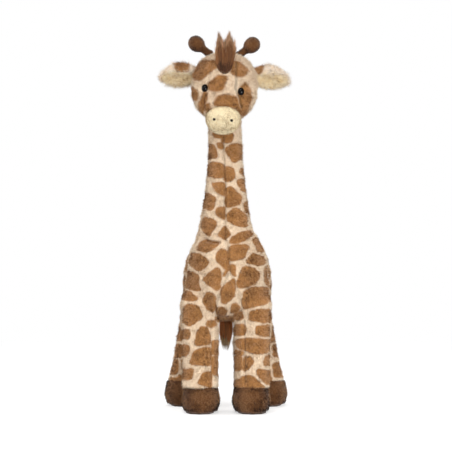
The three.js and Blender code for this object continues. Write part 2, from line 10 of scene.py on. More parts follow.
import bpy
import numpy as np
from mathutils import Matrix, Vector
from mathutils.bvhtree import BVHTree
from mathutils.kdtree import KDTree


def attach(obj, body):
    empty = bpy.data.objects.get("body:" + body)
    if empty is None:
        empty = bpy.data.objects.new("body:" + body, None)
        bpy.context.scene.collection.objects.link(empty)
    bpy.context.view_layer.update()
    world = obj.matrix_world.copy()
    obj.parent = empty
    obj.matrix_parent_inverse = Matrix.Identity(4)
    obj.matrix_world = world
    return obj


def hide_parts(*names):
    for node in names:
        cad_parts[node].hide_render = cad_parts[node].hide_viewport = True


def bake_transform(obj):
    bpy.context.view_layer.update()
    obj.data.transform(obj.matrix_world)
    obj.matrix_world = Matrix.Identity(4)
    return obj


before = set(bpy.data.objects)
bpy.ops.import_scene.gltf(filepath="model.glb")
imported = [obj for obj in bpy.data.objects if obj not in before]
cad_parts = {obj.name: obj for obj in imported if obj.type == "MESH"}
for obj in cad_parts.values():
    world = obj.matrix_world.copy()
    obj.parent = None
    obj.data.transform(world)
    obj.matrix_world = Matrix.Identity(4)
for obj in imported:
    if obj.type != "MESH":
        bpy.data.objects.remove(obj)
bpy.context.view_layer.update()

MM = 0.001

# %% [markdown]
# The photograph was taken from straight in front with a long lens, a little below the toy's middle
# height. The frame is square. A pixel of it is turned into a line through the scene by one function,
# because the patches and the eyes are placed where they are seen.

# %% Camera
PHOTO_SIDE = 452
CAMERA_DISTANCE = 2450 * MM
CAMERA_HEIGHT = 275.5 * MM
FRAME_HEIGHT = 659 * MM
FRONT_PLANE = -67 * MM

camera_data = bpy.data.cameras.new("studio_camera")
camera = bpy.data.objects.new("studio_camera", camera_data)
bpy.context.scene.collection.objects.link(camera)
camera.location = (0, FRONT_PLANE - CAMERA_DISTANCE, CAMERA_HEIGHT)
camera.rotation_euler = (math.radians(90), 0, 0)
camera_data.sensor_fit = "VERTICAL"
camera_data.angle = 2 * math.atan(FRAME_HEIGHT / 2 / CAMERA_DISTANCE)
camera_data.clip_start = 0.1
bpy.context.scene.camera = camera


def sight_line(px, py):
    """The camera's place and the direction in which it sees a pixel."""
    across = (px - PHOTO_SIDE / 2) / PHOTO_SIDE * FRAME_HEIGHT
    up = (PHOTO_SIDE / 2 - py) / PHOTO_SIDE * FRAME_HEIGHT
    return camera.location.copy(), Vector((across, CAMERA_DISTANCE, up)).normalized()


print("field of view:", round(math.degrees(camera_data.angle), 2))

# %% [markdown]
# A few small helpers keep the steps short: one deselects everything, because an operator acts on all
# that is selected, one makes an object the only active one, and one applies a modifier at once.

# %% Working by hand
def alone(obj=None):
    """Deselects everything, then selects and activates one object."""
    if bpy.context.object and bpy.context.object.mode != "OBJECT":
        bpy.ops.object.mode_set(mode="OBJECT")
    bpy.ops.object.select_all(action="DESELECT")
    if obj:
        obj.select_set(True)
        bpy.context.view_layer.objects.active = obj
    return obj


def apply_modifier(obj, kind, **settings):
    alone(obj)
    modifier = obj.modifiers.new(kind.lower(), kind)
    for key, value in settings.items():
        setattr(modifier, key, value)
    bpy.ops.object.modifier_apply(modifier=modifier.name)
    return obj


def named(name):
    obj = bpy.context.object
    obj.name = name
    obj.data.name = name
    return obj


def place_applied(obj):
    alone(obj)
    bpy.ops.object.transform_apply(location=True, rotation=True, scale=True)
    return obj


def face_outwards(obj):
    alone(obj)
    bpy.ops.object.mode_set(mode="EDIT")
    bpy.ops.mesh.select_all(action="SELECT")
    bpy.ops.mesh.normals_make_consistent(inside=False)
    bpy.ops.object.mode_set(mode="OBJECT")
    return obj


# %% [markdown]
# Colours are written as the sRGB hex values seen on the toy, and one function turns them to the linear
# values that the shader wants. One more function adds a node with its settings and its links.

# %% Colours and nodes
def linear(hex_colour):
    channels = [int(hex_colour[i:i + 2], 16) / 255 for i in (1, 3, 5)]
    return tuple(c / 12.92 if c <= 0.04045 else ((c + 0.055) / 1.055) ** 2.4 for c in channels) + (1.0,)


def add_node(material, kind, settings=(), links=(), sockets=(), **values):
    """A node with its properties, its socket values by place or by name, and its links as (socket,
    from output)."""
    node = material.node_tree.nodes.new(kind)
    for key, value in dict(settings).items():
        setattr(node, key, value)
    for place, value in dict(sockets).items():
        node.inputs[place].default_value = value
    for key, value in values.items():
        node.inputs[key.replace("_", " ")].default_value = value
    for socket, output in links:
        material.node_tree.links.new(output, node.inputs[socket])
    return node


def new_material(name, **values):
    """A Principled material with its constant values set on the shader's own sockets."""
    material = bpy.data.materials.new(name)
    material.use_nodes = True
    shader = material.node_tree.nodes["Principled BSDF"]
    for key, value in values.items():
        shader.inputs[key.replace("_", " ")].default_value = value
    return material, shader


# %% [markdown]
# The short pile is polyester plush, knitted and cut: matt, with a soft sheen where fibres stand on
# edge. Under the pile the knitted backing shows as a darker ground. The colour comes from the patch
# attribute on the mesh, broken up by a noise of fibre clumps a few millimetres wide, and darkened
# along the seams as painted shade of the creases. A finer noise gives the fibres their relief.

# %% Plush grounds
CREAM = "#eed7bb"
CARAMEL = "#ad7a47"
HOOF_BROWN = "#6b4526"
STRAW = "#f8e9c3"
EAR_STRAW = "#efdaae"
# how much the painted shade of the creases darkens the ground
CREASE_SHADE = 0.8
CLUMPS_PER_METRE = 1 / (3.2 * MM)
FIBRES_PER_METRE = 1 / (0.9 * MM)
CLUMP_DARK, CLUMP_LIGHT = 0.84, 1.06
FIBRE_RELIEF = 0.6 * MM


def toned(hex_colour, share):
    """A hex colour with each channel taken to a share of itself."""
    channels = [min(255, round(int(hex_colour[i:i + 2], 16) * share)) for i in (1, 3, 5)]
    return "#" + "".join(f"{channel:02x}" for channel in channels)


def plush_ground(name, light, dark=None):
    """Knitted ground under cut pile; `dark` is the colour of the patches."""
    material, shader = new_material(
        name, Roughness=0.92, Sheen_Weight=0.35, Sheen_Roughness=0.5, Specular_IOR_Level=0.15)
    place = add_node(material, "ShaderNodeTexCoord").outputs["Object"]
    clump = add_node(material, "ShaderNodeTexNoise", Scale=CLUMPS_PER_METRE, Detail=3.0,
                     links=[("Vector", place)])
    fibre = add_node(material, "ShaderNodeTexNoise", Scale=FIBRES_PER_METRE, Detail=2.0,
                     links=[("Vector", place)])
    patch = add_node(material, "ShaderNodeAttribute", settings={"attribute_name": "patch"})
    colour = add_node(material, "ShaderNodeMix", settings={"data_type": "RGBA"},
                      links=[(0, patch.outputs["Fac"])], sockets={6: linear(light), 7: linear(dark or light)})
    tone = add_node(material, "ShaderNodeMapRange", links=[("Value", clump.outputs["Fac"])],
                    From_Min=0.3, From_Max=0.7, To_Min=CLUMP_DARK, To_Max=CLUMP_LIGHT)
    # darkens the ground along the seams: painted shade of the creases
    painted_crease_shade = add_node(material, "ShaderNodeAttribute", settings={"attribute_name": "painted_crease_shade"})
    shadow = add_node(material, "ShaderNodeMath", settings={"operation": "MULTIPLY_ADD"},
                      links=[(0, painted_crease_shade.outputs["Fac"])], sockets={1: -CREASE_SHADE, 2: 1.0})
    tone = add_node(material, "ShaderNodeMath", settings={"operation": "MULTIPLY"},
                    links=[(0, tone.outputs["Result"]), (1, shadow.outputs["Value"])])
    shade = add_node(material, "ShaderNodeMix", settings={"data_type": "RGBA", "blend_type": "MULTIPLY"},
                     links=[(6, colour.outputs[2]), (7, tone.outputs["Value"])], sockets={0: 1.0})
    material.node_tree.links.new(shade.outputs[2], shader.inputs["Base Color"])
    bump = add_node(material, "ShaderNodeBump", links=[("Height", fibre.outputs["Fac"])],
                    Strength=0.5, Distance=FIBRE_RELIEF)
    material.node_tree.links.new(bump.outputs["Normal"], shader.inputs["Normal"])
    return material


patched_ground = plush_ground("patched_plush_ground", CREAM, CARAMEL)
caramel_ground = plush_ground("caramel_plush_ground", CARAMEL)
hoof_ground = plush_ground("dark_plush_ground", HOOF_BROWN)
straw_ground = plush_ground("straw_plush_ground", STRAW)
ear_ground = plush_ground("ear_plush_ground", EAR_STRAW)


def pile_tints(name, hex_colours, sheen=0.2):
    """Constant colours for single fibres, a few tints each: the random tone of dyed pile, and painted sheen
    and shade.
    """
    return [new_material(
        f"{name}_{i}", Base_Color=linear(hex_colour), Roughness=0.85, Sheen_Weight=sheen,
        Sheen_Roughness=0.4, Specular_IOR_Level=0.2)[0] for i, hex_colour in enumerate(hex_colours)]


# light, middle and dark: random tone with painted sheen and shade of the nap; the last tint is painted shade
# for fibres in a seam
cream_pile = pile_tints("cream_pile", ("#fae8cf", "#eed8bc", "#ceb190", "#6f5a46"))
caramel_pile = pile_tints("caramel_pile", ("#cd9f70", "#a97848", "#714a29", "#37230f"), sheen=0.12)
hoof_pile = pile_tints("hoof_pile", ("#97704c", "#5d3b20", "#2e1b0d", "#22140a"), sheen=0.06)
straw_pile = pile_tints("straw_pile", ("#efdab4", "#dcc396", "#b8996a", "#87703f"))
ear_pile = pile_tints("ear_pile", ("#fdeecf", "#f1dbae", "#ccac78", "#94784a"))
# the ears' cream, paler than the body's: painted light on the thin ears
lit_ear_pile = pile_tints("lit_ear_pile", ("#fff6ea", "#fdeedd", "#ecd8c0", "#b8a38a"))
print("materials:", len(bpy.data.materials))

# %% [markdown]
# Each stuffed form is pulled up ring by ring from a filled circle: extrude, then scale the new ring.
# This is how the real cloth tube widens and narrows over its stuffing, and it keeps every ring's size
# readable. Balls are spheres. A row is (x, y, z, half width, half depth) in millimetres.

# %% Forms pulled ring by ring
FORM_SIDES = 40


def ring_form(name, rows, sides=FORM_SIDES):
    x, y, z, wide, deep = rows[0]
    alone()
    bpy.ops.mesh.primitive_circle_add(
        vertices=sides, radius=MM, fill_type="NGON", location=(x * MM, y * MM, z * MM))
    obj = place_applied(named(name))
    bpy.ops.object.mode_set(mode="EDIT")
    bpy.ops.mesh.select_all(action="SELECT")
    centre = Vector((x, y, z)) * MM
    bpy.ops.transform.resize(value=(wide, deep, 1), center_override=centre)
    for x2, y2, z2, wide2, deep2 in rows[1:]:
        bpy.ops.mesh.extrude_region_move(
            TRANSFORM_OT_translate={"value": Vector((x2, y2, z2)) * MM - centre})
        centre = Vector((x2, y2, z2)) * MM
        bpy.ops.transform.resize(value=(wide2 / wide, deep2 / deep, 1), center_override=centre)
        wide, deep = wide2, deep2
    return face_outwards(obj)


def ball_form(name, x, y, z, radius, stretch=(1, 1, 1)):
    alone()
    bpy.ops.mesh.primitive_uv_sphere_add(
        segments=FORM_SIDES, ring_count=FORM_SIDES // 2, radius=radius * MM,
        location=(x * MM, y * MM, z * MM), scale=stretch)
    return place_applied(named(name))


def fused(name, forms, voxel, smoothing):
    """Joins overlapping forms into one even skin, as one cover drawn over all of them."""
    alone()
    for form in forms:
        form.select_set(True)
    bpy.context.view_layer.objects.active = forms[0]
    bpy.ops.object.join()
    obj = named(name)
    apply_modifier(obj, "REMESH", mode="VOXEL", voxel_size=voxel * MM)
    return apply_modifier(obj, "SMOOTH", factor=0.5, iterations=smoothing)


def finer(obj):
    """Splits every face once, which rounds what the remeshing left in small steps."""
    return apply_modifier(obj, "SUBSURF", levels=1, render_levels=1)


# %% [markdown]
# The body is one sewn cover: barrel, chest and rump in one swelling form, the neck rising from the
# shoulders, and four straight legs. They are fused so that the cloth runs on from one to the next.

# %% Body
SIDES = (("right", -1), ("left", 1))
LEGS = [(end, side, sign) for end in ("front", "rear") for side, sign in SIDES]
NECK_Y = -30
TORSO_ROWS = [
    # height, half width, Y of the front, Y of the back
    (137.5, 26, -40, 60), (146, 48, -62, 82), (160, 59, -73, 90), (175, 62.5, -78, 92),
    (190, 62.8, -80, 94), (205, 61.6, -81, 92), (217, 59.5, -81, 84), (230, 55.6, -80, 70),
    (243, 50, -78, 40), (256, 43.6, -75, 14), (266, 38, -71, 8),
]
TORSO_SHIFT = 1.9
CLOTH_THICKNESS = 0.4
NECK_LEAN = 0.56
NECK_ROWS = [
    # height, half width, half depth
    (240, 43, 43), (256, 42, 42), (270, 38.2, 39.5), (283, 35.2, 36.5), (298.5, 32.6, 34),
    (320, 30, 31), (341, 27.8, 28.8), (363, 25.8, 27), (386, 24.4, 25), (406, 23.6, 24), (446, 23, 22.5),
]
HIP = {"front": (37, -36, 158), "rear": (37, 65, 160)}
FOOT = {"front": (38.5, -37, 37), "rear": (65, 68, 37)}
LEG_HALF = 26.6
HIP_BALL = 28.5
LEG_WAY = (-0.16, 0, 0.15, 0.3, 0.5, 0.75, 0.9, 0.99)
LEG_SHARES = {
    # shares of the half width, at those shares of the way from hip to foot
    "front": (0.8, 0.92, 0.98, 0.99, 1.0, 0.96, 0.97, 1.02),
    "rear": (0.8, 0.92, 0.97, 0.97, 0.94, 0.88, 0.89, 0.93),
}
SHOULDER_HEIGHT, SHOULDER_BALL = 227, 51


def neck_x(z):
    """The neck leans a little to the toy's right."""
    return -math.tan(math.radians(NECK_LEAN)) * (z - SHOULDER_HEIGHT)


body_forms = [
    ring_form("torso_form", [
        (TORSO_SHIFT, (f + b) / 2, z, w + CLOTH_THICKNESS, (b - f) / 2) for z, w, f, b in TORSO_ROWS]),
    ring_form("neck_form", [(neck_x(z), NECK_Y, z, w, d) for z, w, d in NECK_ROWS]),
    ball_form("shoulder_form", TORSO_SHIFT / 2, NECK_Y, SHOULDER_HEIGHT, SHOULDER_BALL),
]
for end, side, sign in LEGS:
    hip, foot = (Vector(place) * Vector((sign, 1, 1)) for place in (HIP[end], FOOT[end]))
    rows = [(*hip.lerp(foot, t), LEG_HALF * k, LEG_HALF * k) for t, k in zip(LEG_WAY, LEG_SHARES[end])]
    body_forms.append(ring_form(f"leg_form_{end}_{side}", rows[::-1]))
    body_forms.append(ball_form(f"hip_form_{end}_{side}", *hip, HIP_BALL))
body = fused("body_skin", body_forms, voxel=3.0, smoothing=6)
print("body skin:", len(body.data.vertices), "points")

# %% [markdown]
# The camera's lines are met with the skin to find where a seam or a patch sits. Seams are drawn as the
# photograph shows them, as rows of pixels, and laid on the form from the front. Those at the back
# follow the usual cut of such a toy: one along the spine, one down the outside of each leg.

# %% Seams on the body
def tree_of(obj):
    vertices = [v.co.copy() for v in obj.data.vertices]
    return BVHTree.FromPolygons(vertices, [list(p.vertices) for p in obj.data.polygons])


def seen_on(tree, px, py):
    """The place and normal where the camera sees a pixel on a form, or None beside it."""
    place, normal, _, _ = tree.ray_cast(*sight_line(px, py))
    return (place, normal) if place else None


def drawn_seam(tree, pixels, step=0.7):
    """Points on a form, close together, along a row of pixels."""
    points = []
    for (x1, y1), (x2, y2) in zip(pixels, pixels[1:]):
        count = max(2, round(math.hypot(x2 - x1, y2 - y1) / step))
        for i in range(count):
            hit = seen_on(tree, x1 + (x2 - x1) * i / count, y1 + (y2 - y1) * i / count)
            if hit:
                points.append(hit[0])
    return points


SEAM_REACH = 0.4


def seam_round(tree, start, end, towards, count=90):
    """Points on a form met by lines that leave its inside, between two places, in one direction."""
    points = []
    for i in range(count + 1):
        inside = (Vector(start) * (count - i) + Vector(end) * i) / count * MM
        far = inside + Vector(towards) * SEAM_REACH
        place, _, _, _ = tree.ray_cast(far, -Vector(towards))
        if place:
            points.append(place)
    return points


FRONT_SEAMS = [
    [(222.6, 136), (223.3, 155), (224.1, 174), (225, 188), (225, 238), (227.8, 246), (228.8, 262),
     (229.4, 271)],
    [(229.4, 271), (224.5, 280), (219.5, 292), (215.6, 305), (216.5, 315), (219, 321)],
    [(229.4, 271), (233.5, 280), (238, 292), (241.6, 306), (240, 315), (236.5, 321)],
    [(212.4, 322), (212.2, 350), (212, 384)],
    [(243.6, 322), (244.2, 350), (244.6, 384)],
]
DART = [(205.5, 239.8), (210, 241.3), (214.5, 242), (219.8, 242.2)]

skin_tree = tree_of(body)
seams = [p for row in FRONT_SEAMS for p in drawn_seam(skin_tree, row)]
seams += seam_round(skin_tree, (0, NECK_Y, 430), (0, NECK_Y, 262), (0, 1, 0))
seams += seam_round(skin_tree, (0, 10, 255), (0, 40, 150), Vector((0, 0.8, 0.6)))
for end, _, sign in LEGS:
    hip, foot = (Vector(place) * Vector((sign, 1, 1)) for place in (HIP[end], FOOT[end]))
    seams += seam_round(skin_tree, hip.lerp(foot, 0.25), foot, (sign, 0, 0), count=50)
dart = drawn_seam(skin_tree, DART)
print("seam points:", len(seams), "dart:", len(dart))

# %% [markdown]
# The cloth is stuffed from inside, so it swells between its seams and the seams stay drawn in. That is
# what the cloth simulation does here: pressure inside, seams and hems held, and a little spare cloth so
# that it puckers beside them. No point may move more than a few millimetres, and the result is applied.

# %% Stuffing the cover
SWELL_CAP = 1.6 * MM
HOLD_REACH = 4.5 * MM
EVENING_ROUNDS = 30
STUFFING_PRESSURE = 4.0
STUFFING_FRAMES = 14
HEM_HEIGHT, COLLAR_HEIGHT = 42 * MM, 436 * MM


def nearest_distance(points, targets):
    """For each point, how far its nearest target is, in metres."""
    tree = KDTree(len(targets))
    for i, target in enumerate(targets):
        tree.insert(target, i)
    tree.balance()
    return np.array([tree.find(point)[2] for point in points.tolist()])


def points_of(obj, field="co"):
    values = np.empty(len(obj.data.vertices) * 3)
    obj.data.vertices.foreach_get(field, values)
    return values.reshape(-1, 3)


def set_points(obj, values):
    obj.data.vertices.foreach_set("co", values.ravel())
    obj.data.update()


def evened(obj, values):
    """Values of a skin's points, each mixed again and again with those of its neighbours."""
    pairs = np.empty(len(obj.data.edges) * 2, dtype=np.int64)
    obj.data.edges.foreach_get("vertices", pairs)
    a, b = pairs.reshape(-1, 2).T
    size = len(values)
    count = 1 + np.bincount(a, minlength=size) + np.bincount(b, minlength=size)
    for _ in range(EVENING_ROUNDS):
        mixed = [column + np.bincount(a, column[b], size) + np.bincount(b, column[a], size)
                 for column in values.T]
        values = np.stack(mixed, axis=1) / count[:, None]
    return values


def stuff(obj, seam_points, held, cap=SWELL_CAP):
    """Swells a cover by cloth simulation between its held seams, then smooths it by one subdivision."""
    before = points_of(obj)
    reach = nearest_distance(before, seam_points)
    pins = np.where((reach < HOLD_REACH) | held(before))[0]
    group = obj.vertex_groups.new(name="held")
    group.add([int(i) for i in pins], 1.0, "REPLACE")
    alone(obj)
    modifier = obj.modifiers.new("cloth", "CLOTH")
    cloth = modifier.settings
    cloth.quality = 4
    cloth.mass = 0.2
    cloth.tension_stiffness = cloth.compression_stiffness = 8
    cloth.bending_stiffness = 0.4
    cloth.shrink_min = -0.025
    cloth.use_pressure = True
    cloth.uniform_pressure_force = STUFFING_PRESSURE
    cloth.vertex_group_mass = "held"
    cloth.effector_weights.gravity = 0
    modifier.collision_settings.use_collision = False
    modifier.point_cache.frame_start = 1
    modifier.point_cache.frame_end = STUFFING_FRAMES
    for frame_number in range(1, STUFFING_FRAMES + 1):
        bpy.context.scene.frame_set(frame_number)
    bpy.ops.object.modifier_apply(modifier=modifier.name)
    bpy.context.scene.frame_set(1)
    obj.vertex_groups.clear()
    move = points_of(obj) - before
    length = np.linalg.norm(move, axis=1, keepdims=True)
    move = evened(obj, move * np.minimum(1, cap / np.maximum(length, 1e-9)))
    set_points(obj, before + move * np.clip(reach / HOLD_REACH, 0, 1)[:, None])
    print(obj.name, "swelled by up to", round(float(min(length.max(), cap)) / MM, 2), "mm")
    return finer(obj)


def drawn_in(obj, seam_points, depth, spread):
    """Sinks the skin along its seams, as the stitches pull it."""
    places, normals = points_of(obj), points_of(obj, "normal")
    reach = nearest_distance(places, seam_points)
    set_points(obj, places - normals * (depth * MM * np.exp(-(reach / (spread * MM)) ** 2))[:, None])


stuff(body, seams + dart, held=lambda p: (p[:, 2] < HEM_HEIGHT) | (p[:, 2] > COLLAR_HEIGHT))
drawn_in(body, seams, depth=3.0, spread=2.2)
drawn_in(body, dart, depth=5.0, spread=2.6)
print("body skin:", len(body.data.vertices), "points", [round(v / MM) for v in body.dimensions])

# %% [markdown]
# The pattern is printed on the cloth: rounded caramel polygons with a cream net between them, as on the
# animal. Those that the photograph shows are drawn as corners, in its pixels, and lie on the
# front of the toy up to a wavy line down each side. Where two of them meet on a seam they touch there,
# because each panel was cut from its own place in the cloth.

# %% Patches drawn on the front
FRONT_PATCHES = [
    [(213.4, 132), (232.8, 132), (232.2, 140.6), (228, 142.6), (222, 141.6), (221.6, 137.8), (214, 137.4)],
    [(217.2, 143.4), (222.4, 142.3), (223, 148.8), (218.6, 148)],
    [(204, 143.2), (213, 145), (217.2, 152), (216.6, 158), (204, 158.6)],
    [(224.5, 148.5), (231, 144.5), (240.5, 144.2), (241.8, 152), (240.5, 158.5), (235, 162.6), (230, 158)],
    [(208.4, 163.8), (215, 162), (223.4, 164), (223.6, 177.2), (216, 177.8), (208.2, 175.8)],
    [(223.6, 166.2), (232, 167.2), (235, 173), (233, 179.2), (227.5, 181.6), (223.8, 179)],
    [(240.2, 168.4), (247, 167), (247, 175.4), (239.8, 173.8)],
    [(211.6, 183), (225, 182.3), (225, 196.2), (217, 192.2)],
    [(225, 189), (230.5, 186.4), (234.5, 190), (241.6, 197), (240, 203.4), (225.4, 208.8)],
    [(217.5, 208), (224.8, 207), (225, 219.6), (219, 217), (215.6, 212.5)],
    [(201, 191), (206, 192.2), (216, 198), (212.4, 210.4), (201, 207.4)],
    [(236.6, 180), (249, 179), (249, 191.6), (241, 190.4)],
    [(243.2, 202.6), (251, 201), (251, 214.6), (245, 212.8)],
    [(226, 216.5), (233, 208.8), (238, 208.6), (246.4, 216), (247, 226.4), (240, 226.8), (229, 221.7)],
    [(204.6, 216.4), (217.4, 222), (213.6, 229), (209, 236.8), (201, 227)],
    [(224.7, 225.2), (230.8, 234), (224.7, 239.8), (218, 235)],
    [(229.5, 243), (232, 237), (240, 233), (250, 230.6), (252.7, 234), (246, 239.2), (237, 243.7)],
    [(206, 239.6), (220.5, 242.5), (213, 249.2), (207, 252.3), (197.6, 250.2), (200, 243)],
    [(221, 249), (228.4, 252), (229, 268), (226, 270.3), (214.6, 258)],
    [(229, 246), (246, 244.2), (248.7, 246.4), (244, 258.2), (229, 261.2)],
    [(252, 238.6), (258, 239), (264, 252), (258, 251.4)],
    [(192, 252.6), (201, 254.8), (210, 262), (200, 271.4), (189.6, 265)],
    [(252, 253.4), (263, 256.8), (265.2, 263), (259, 265.4), (245.2, 262)],
    [(217, 267.6), (221.3, 272), (219.8, 288), (217, 291), (201.6, 279)],
    [(222.8, 277), (226, 270), (229.4, 269.4)],
    [(229.8, 265), (235, 265), (235.4, 277.4), (230, 271)],
    [(246, 265.2), (260, 272), (256.4, 283.2), (240, 288.4), (236.6, 286), (241, 270)],
    [(264.4, 266.4), (273, 268), (273, 286), (266, 285.6), (264, 276)],
    [(182, 270.6), (187, 270.8), (198.4, 274), (198.4, 287), (200.8, 290.2), (194, 290.4), (182, 285)],
    [(233, 279), (235.3, 281), (234.3, 296), (226, 303.8), (221.6, 302.5), (220.6, 289)],
    [(182, 291), (190, 291.6), (198, 299), (193, 301.2), (182, 299)],
    [(208, 291.6), (214.8, 295), (216, 306), (213, 312.4), (206, 308.4), (203, 300)],
    [(245, 290), (255, 287), (270, 288.2), (271, 302), (243, 309.7), (242.2, 300)],
    [(185, 304), (197, 305.2), (203.4, 317), (190, 326.4), (183.4, 322)],
    [(231.6, 305), (237, 303.2), (239.4, 308), (236.5, 313), (230.6, 312.2)],
    [(216, 308), (222, 306.8), (227.8, 310.5), (225, 315.2), (217.6, 314.8)],
    [(250, 312.2), (260, 309), (274, 310), (275, 321.4), (262, 322.3), (248.6, 320.2)],
    [(234.6, 313.4), (242, 311), (243, 318), (238, 320.3), (233.4, 317.5)],
    [(214.6, 317), (234.4, 316), (234.4, 321), (216, 321.4)],
    [(208, 321), (215, 320), (216.3, 325), (210, 327.3), (206.2, 325.5)],
    [(235, 325), (244, 324), (246.8, 331), (243, 335.2), (233, 335)],
    [(255.8, 327), (264, 325), (275, 325.4), (275, 335.6), (262, 336.2), (256, 334)],
    [(181, 331), (188, 329), (190.2, 333), (188, 339), (181, 337.4)],
    [(200, 327), (208, 328), (210.7, 344), (195, 346.2), (196, 336)],
    [(211.6, 341), (220, 340), (220, 354.4), (211.8, 354.6)],
    [(236.2, 338.5), (273, 339.6), (272, 350), (257, 354.6), (236.8, 347.2)],
    [(235.5, 350), (244, 352), (241, 356.4), (235.5, 355)],
    [(181, 345.4), (188, 344.4), (189.4, 352), (184, 357)],
    [(195, 350), (211.2, 347), (211.6, 366), (189, 364.3)],
    [(234, 356), (242, 357), (243.2, 369), (235, 371.2)],
    [(244, 357), (250, 356.8), (254.2, 362), (246, 371.2), (243.4, 370)],
    [(265, 356), (270.4, 354.2), (273, 358), (271, 364.4), (263.6, 365.6)],
    [(211.6, 357), (220, 356), (220, 375.4), (211.8, 374.4)],
    [(181, 369), (194, 368.8), (191.2, 379.6), (181, 378.4)],
    [(202, 374), (211.6, 371), (211.6, 388), (198, 384)],
    [(257.3, 369), (268, 370.8), (272.4, 377), (270.4, 386.6), (258, 376.2)],
    [(233, 382.4), (242, 377.6), (248, 375.3), (256, 379), (266.6, 390), (233, 391)],
]
REAR_LEG_PATCHES = [
    [(166, 345), (183, 344), (183, 357), (166, 356)],
    [(166, 361), (177, 359), (179, 366), (176, 374.4), (166, 373.4)],
    [(272, 345), (282, 344), (282, 356), (273.4, 356.4)],
    [(272.6, 364), (279, 361.6), (286, 364), (286, 376.6), (274, 376.8)],
]
print("drawn patches:", len(FRONT_PATCHES) + len(REAR_LEG_PATCHES))

# %% [markdown]
# What a drawn patch gives is a distance: how far a point of the skin is from its outline, as the camera
# sees it. A distance serves the ground and every single fibre alike, and can be softened at will.

# %% Distance from a drawn patch
PIXEL = FRAME_HEIGHT / PHOTO_SIDE
DRAWN_REACH = 40 * MM
CORNER_CUTS = (0.15, 0.25)


def pixel_of(points):
    """Where the camera sees points, in the photograph's pixels."""
    scale = CAMERA_DISTANCE / (points[:, 1] - camera.location.y) / PIXEL
    across = PHOTO_SIDE / 2 + points[:, 0] * scale
    down = PHOTO_SIDE / 2 - (points[:, 2] - CAMERA_HEIGHT) * scale
    return np.stack([across, down], axis=1)


def rounded(corners):
    """Cuts every corner of a drawn outline twice, as the pile softens it."""
    corners = np.array(corners, float)
    for share in CORNER_CUTS:
        ahead = np.roll(corners, -1, axis=0)
        corners = np.stack([corners + (ahead - corners) * share, ahead - (ahead - corners) * share], 1)
        corners = corners.reshape(-1, 2)
    return corners


def outline_distance(places, corners):
    """How far flat places are from a closed outline, negative inside it."""
    start, edge = corners, np.roll(corners, -1, axis=0) - corners
    away = places[:, None, :] - start[None]
    along = np.clip((away * edge).sum(2) / (edge ** 2).sum(1), 0, 1)
    near = np.linalg.norm(away - edge * along[:, :, None], axis=2).min(axis=1)
    above = start[:, 1] > places[:, None, 1]
    crossing = above != np.roll(above, -1, axis=1)
    rise = np.where(np.abs(edge[:, 1]) < 1e-9, 1e-9, edge[:, 1])
    before = places[:, None, 0] < start[:, 0] + away[:, :, 1] / rise * edge[:, 0]
    inside = (crossing & before).sum(axis=1) % 2 == 1
    return np.where(inside, -near, near)


def drawn_distance(points, outlines):
    """How far points are from the drawn patches, in metres as the camera sees it, negative inside."""
    pixels = pixel_of(points)
    margin = DRAWN_REACH / PIXEL
    best = np.full(len(points), DRAWN_REACH)
    for corners in outlines:
        in_reach = (pixels > corners.min(0) - margin) & (pixels < corners.max(0) + margin)
        near = np.where(in_reach.all(axis=1))[0]
        if len(near):
            best[near] = np.minimum(best[near], outline_distance(pixels[near], corners) * PIXEL)
    return best


front_outlines = [rounded(corners) for corners in FRONT_PATCHES]
rear_outlines = [rounded(corners) for corners in REAR_LEG_PATCHES]
FRONT_END = -25 * MM
FRONT_WAVE, FRONT_WAVE_LENGTH = 5 * MM, 9 * MM
REAR_LEG_START, REAR_LEG_END = 20 * MM, 61 * MM


def front_end(points):
    """The wavy line down each side, as a Y, where the drawn front ends."""
    return FRONT_END + FRONT_WAVE * np.sin(points[:, 2] / FRONT_WAVE_LENGTH)


def body_drawn(points):
    y = points[:, 1]
    front = np.maximum(drawn_distance(points, front_outlines), y - front_end(points))
    between = np.maximum(REAR_LEG_START - y, y - REAR_LEG_END)
    return np.minimum(front, np.maximum(drawn_distance(points, rear_outlines), between))


print("corners after rounding:", sum(len(outline) for outline in front_outlines + rear_outlines))

# %% [markdown]
# The sides and the back aren't in the photograph, so their patches are spread from one seed: ovals at
# an even distance from each other and from the drawn ones. Where two ovals would meet, the net keeps
# its width between them, which makes them polygons too. They end at the spine, where the panels meet.

# %% Patches spread over the rest
PATCH_SPACING = 25 * MM
PATCH_LONG, PATCH_SHORT = (0.66, 0.85), (0.52, 0.66)
PATCH_TURN = 70
PATCH_SQUARENESS = 2.8
PATCH_DEPTH = 1.6
CREASE_WIDTH = 1.9 * MM
NET_HALF_WIDTH = 2.5 * MM
EDGE_SOFTNESS = 2 * MM
EDGE_WAVER = 0.8 * MM
DRAWN_SPREAD = 1.5 * MM
DRAWN_CLEARING = 0.42
OVER_THE_END = 4 * MM, 2 * MM
POINTS_AT_ONCE = 3000
NOWHERE = 9


def patch_oval(place, normal, half_width, half_height, turn):
    """A patch as its centre, three axes each divided by its half size, its size, and its panel's side."""
    upright = Vector((0, 0, 1)) - normal * normal.z
    upright = upright.normalized() if upright.length > 0.2 else Vector((0, 1, 0))
    across = upright.cross(normal).normalized()
    turned = Matrix.Rotation(math.radians(turn), 3, normal)
    small = min(half_width, half_height)
    return (*place, *(turned @ across / half_width), *(turned @ upright / half_height),
            *(normal / (PATCH_DEPTH * small)), small, place[0] > 0)


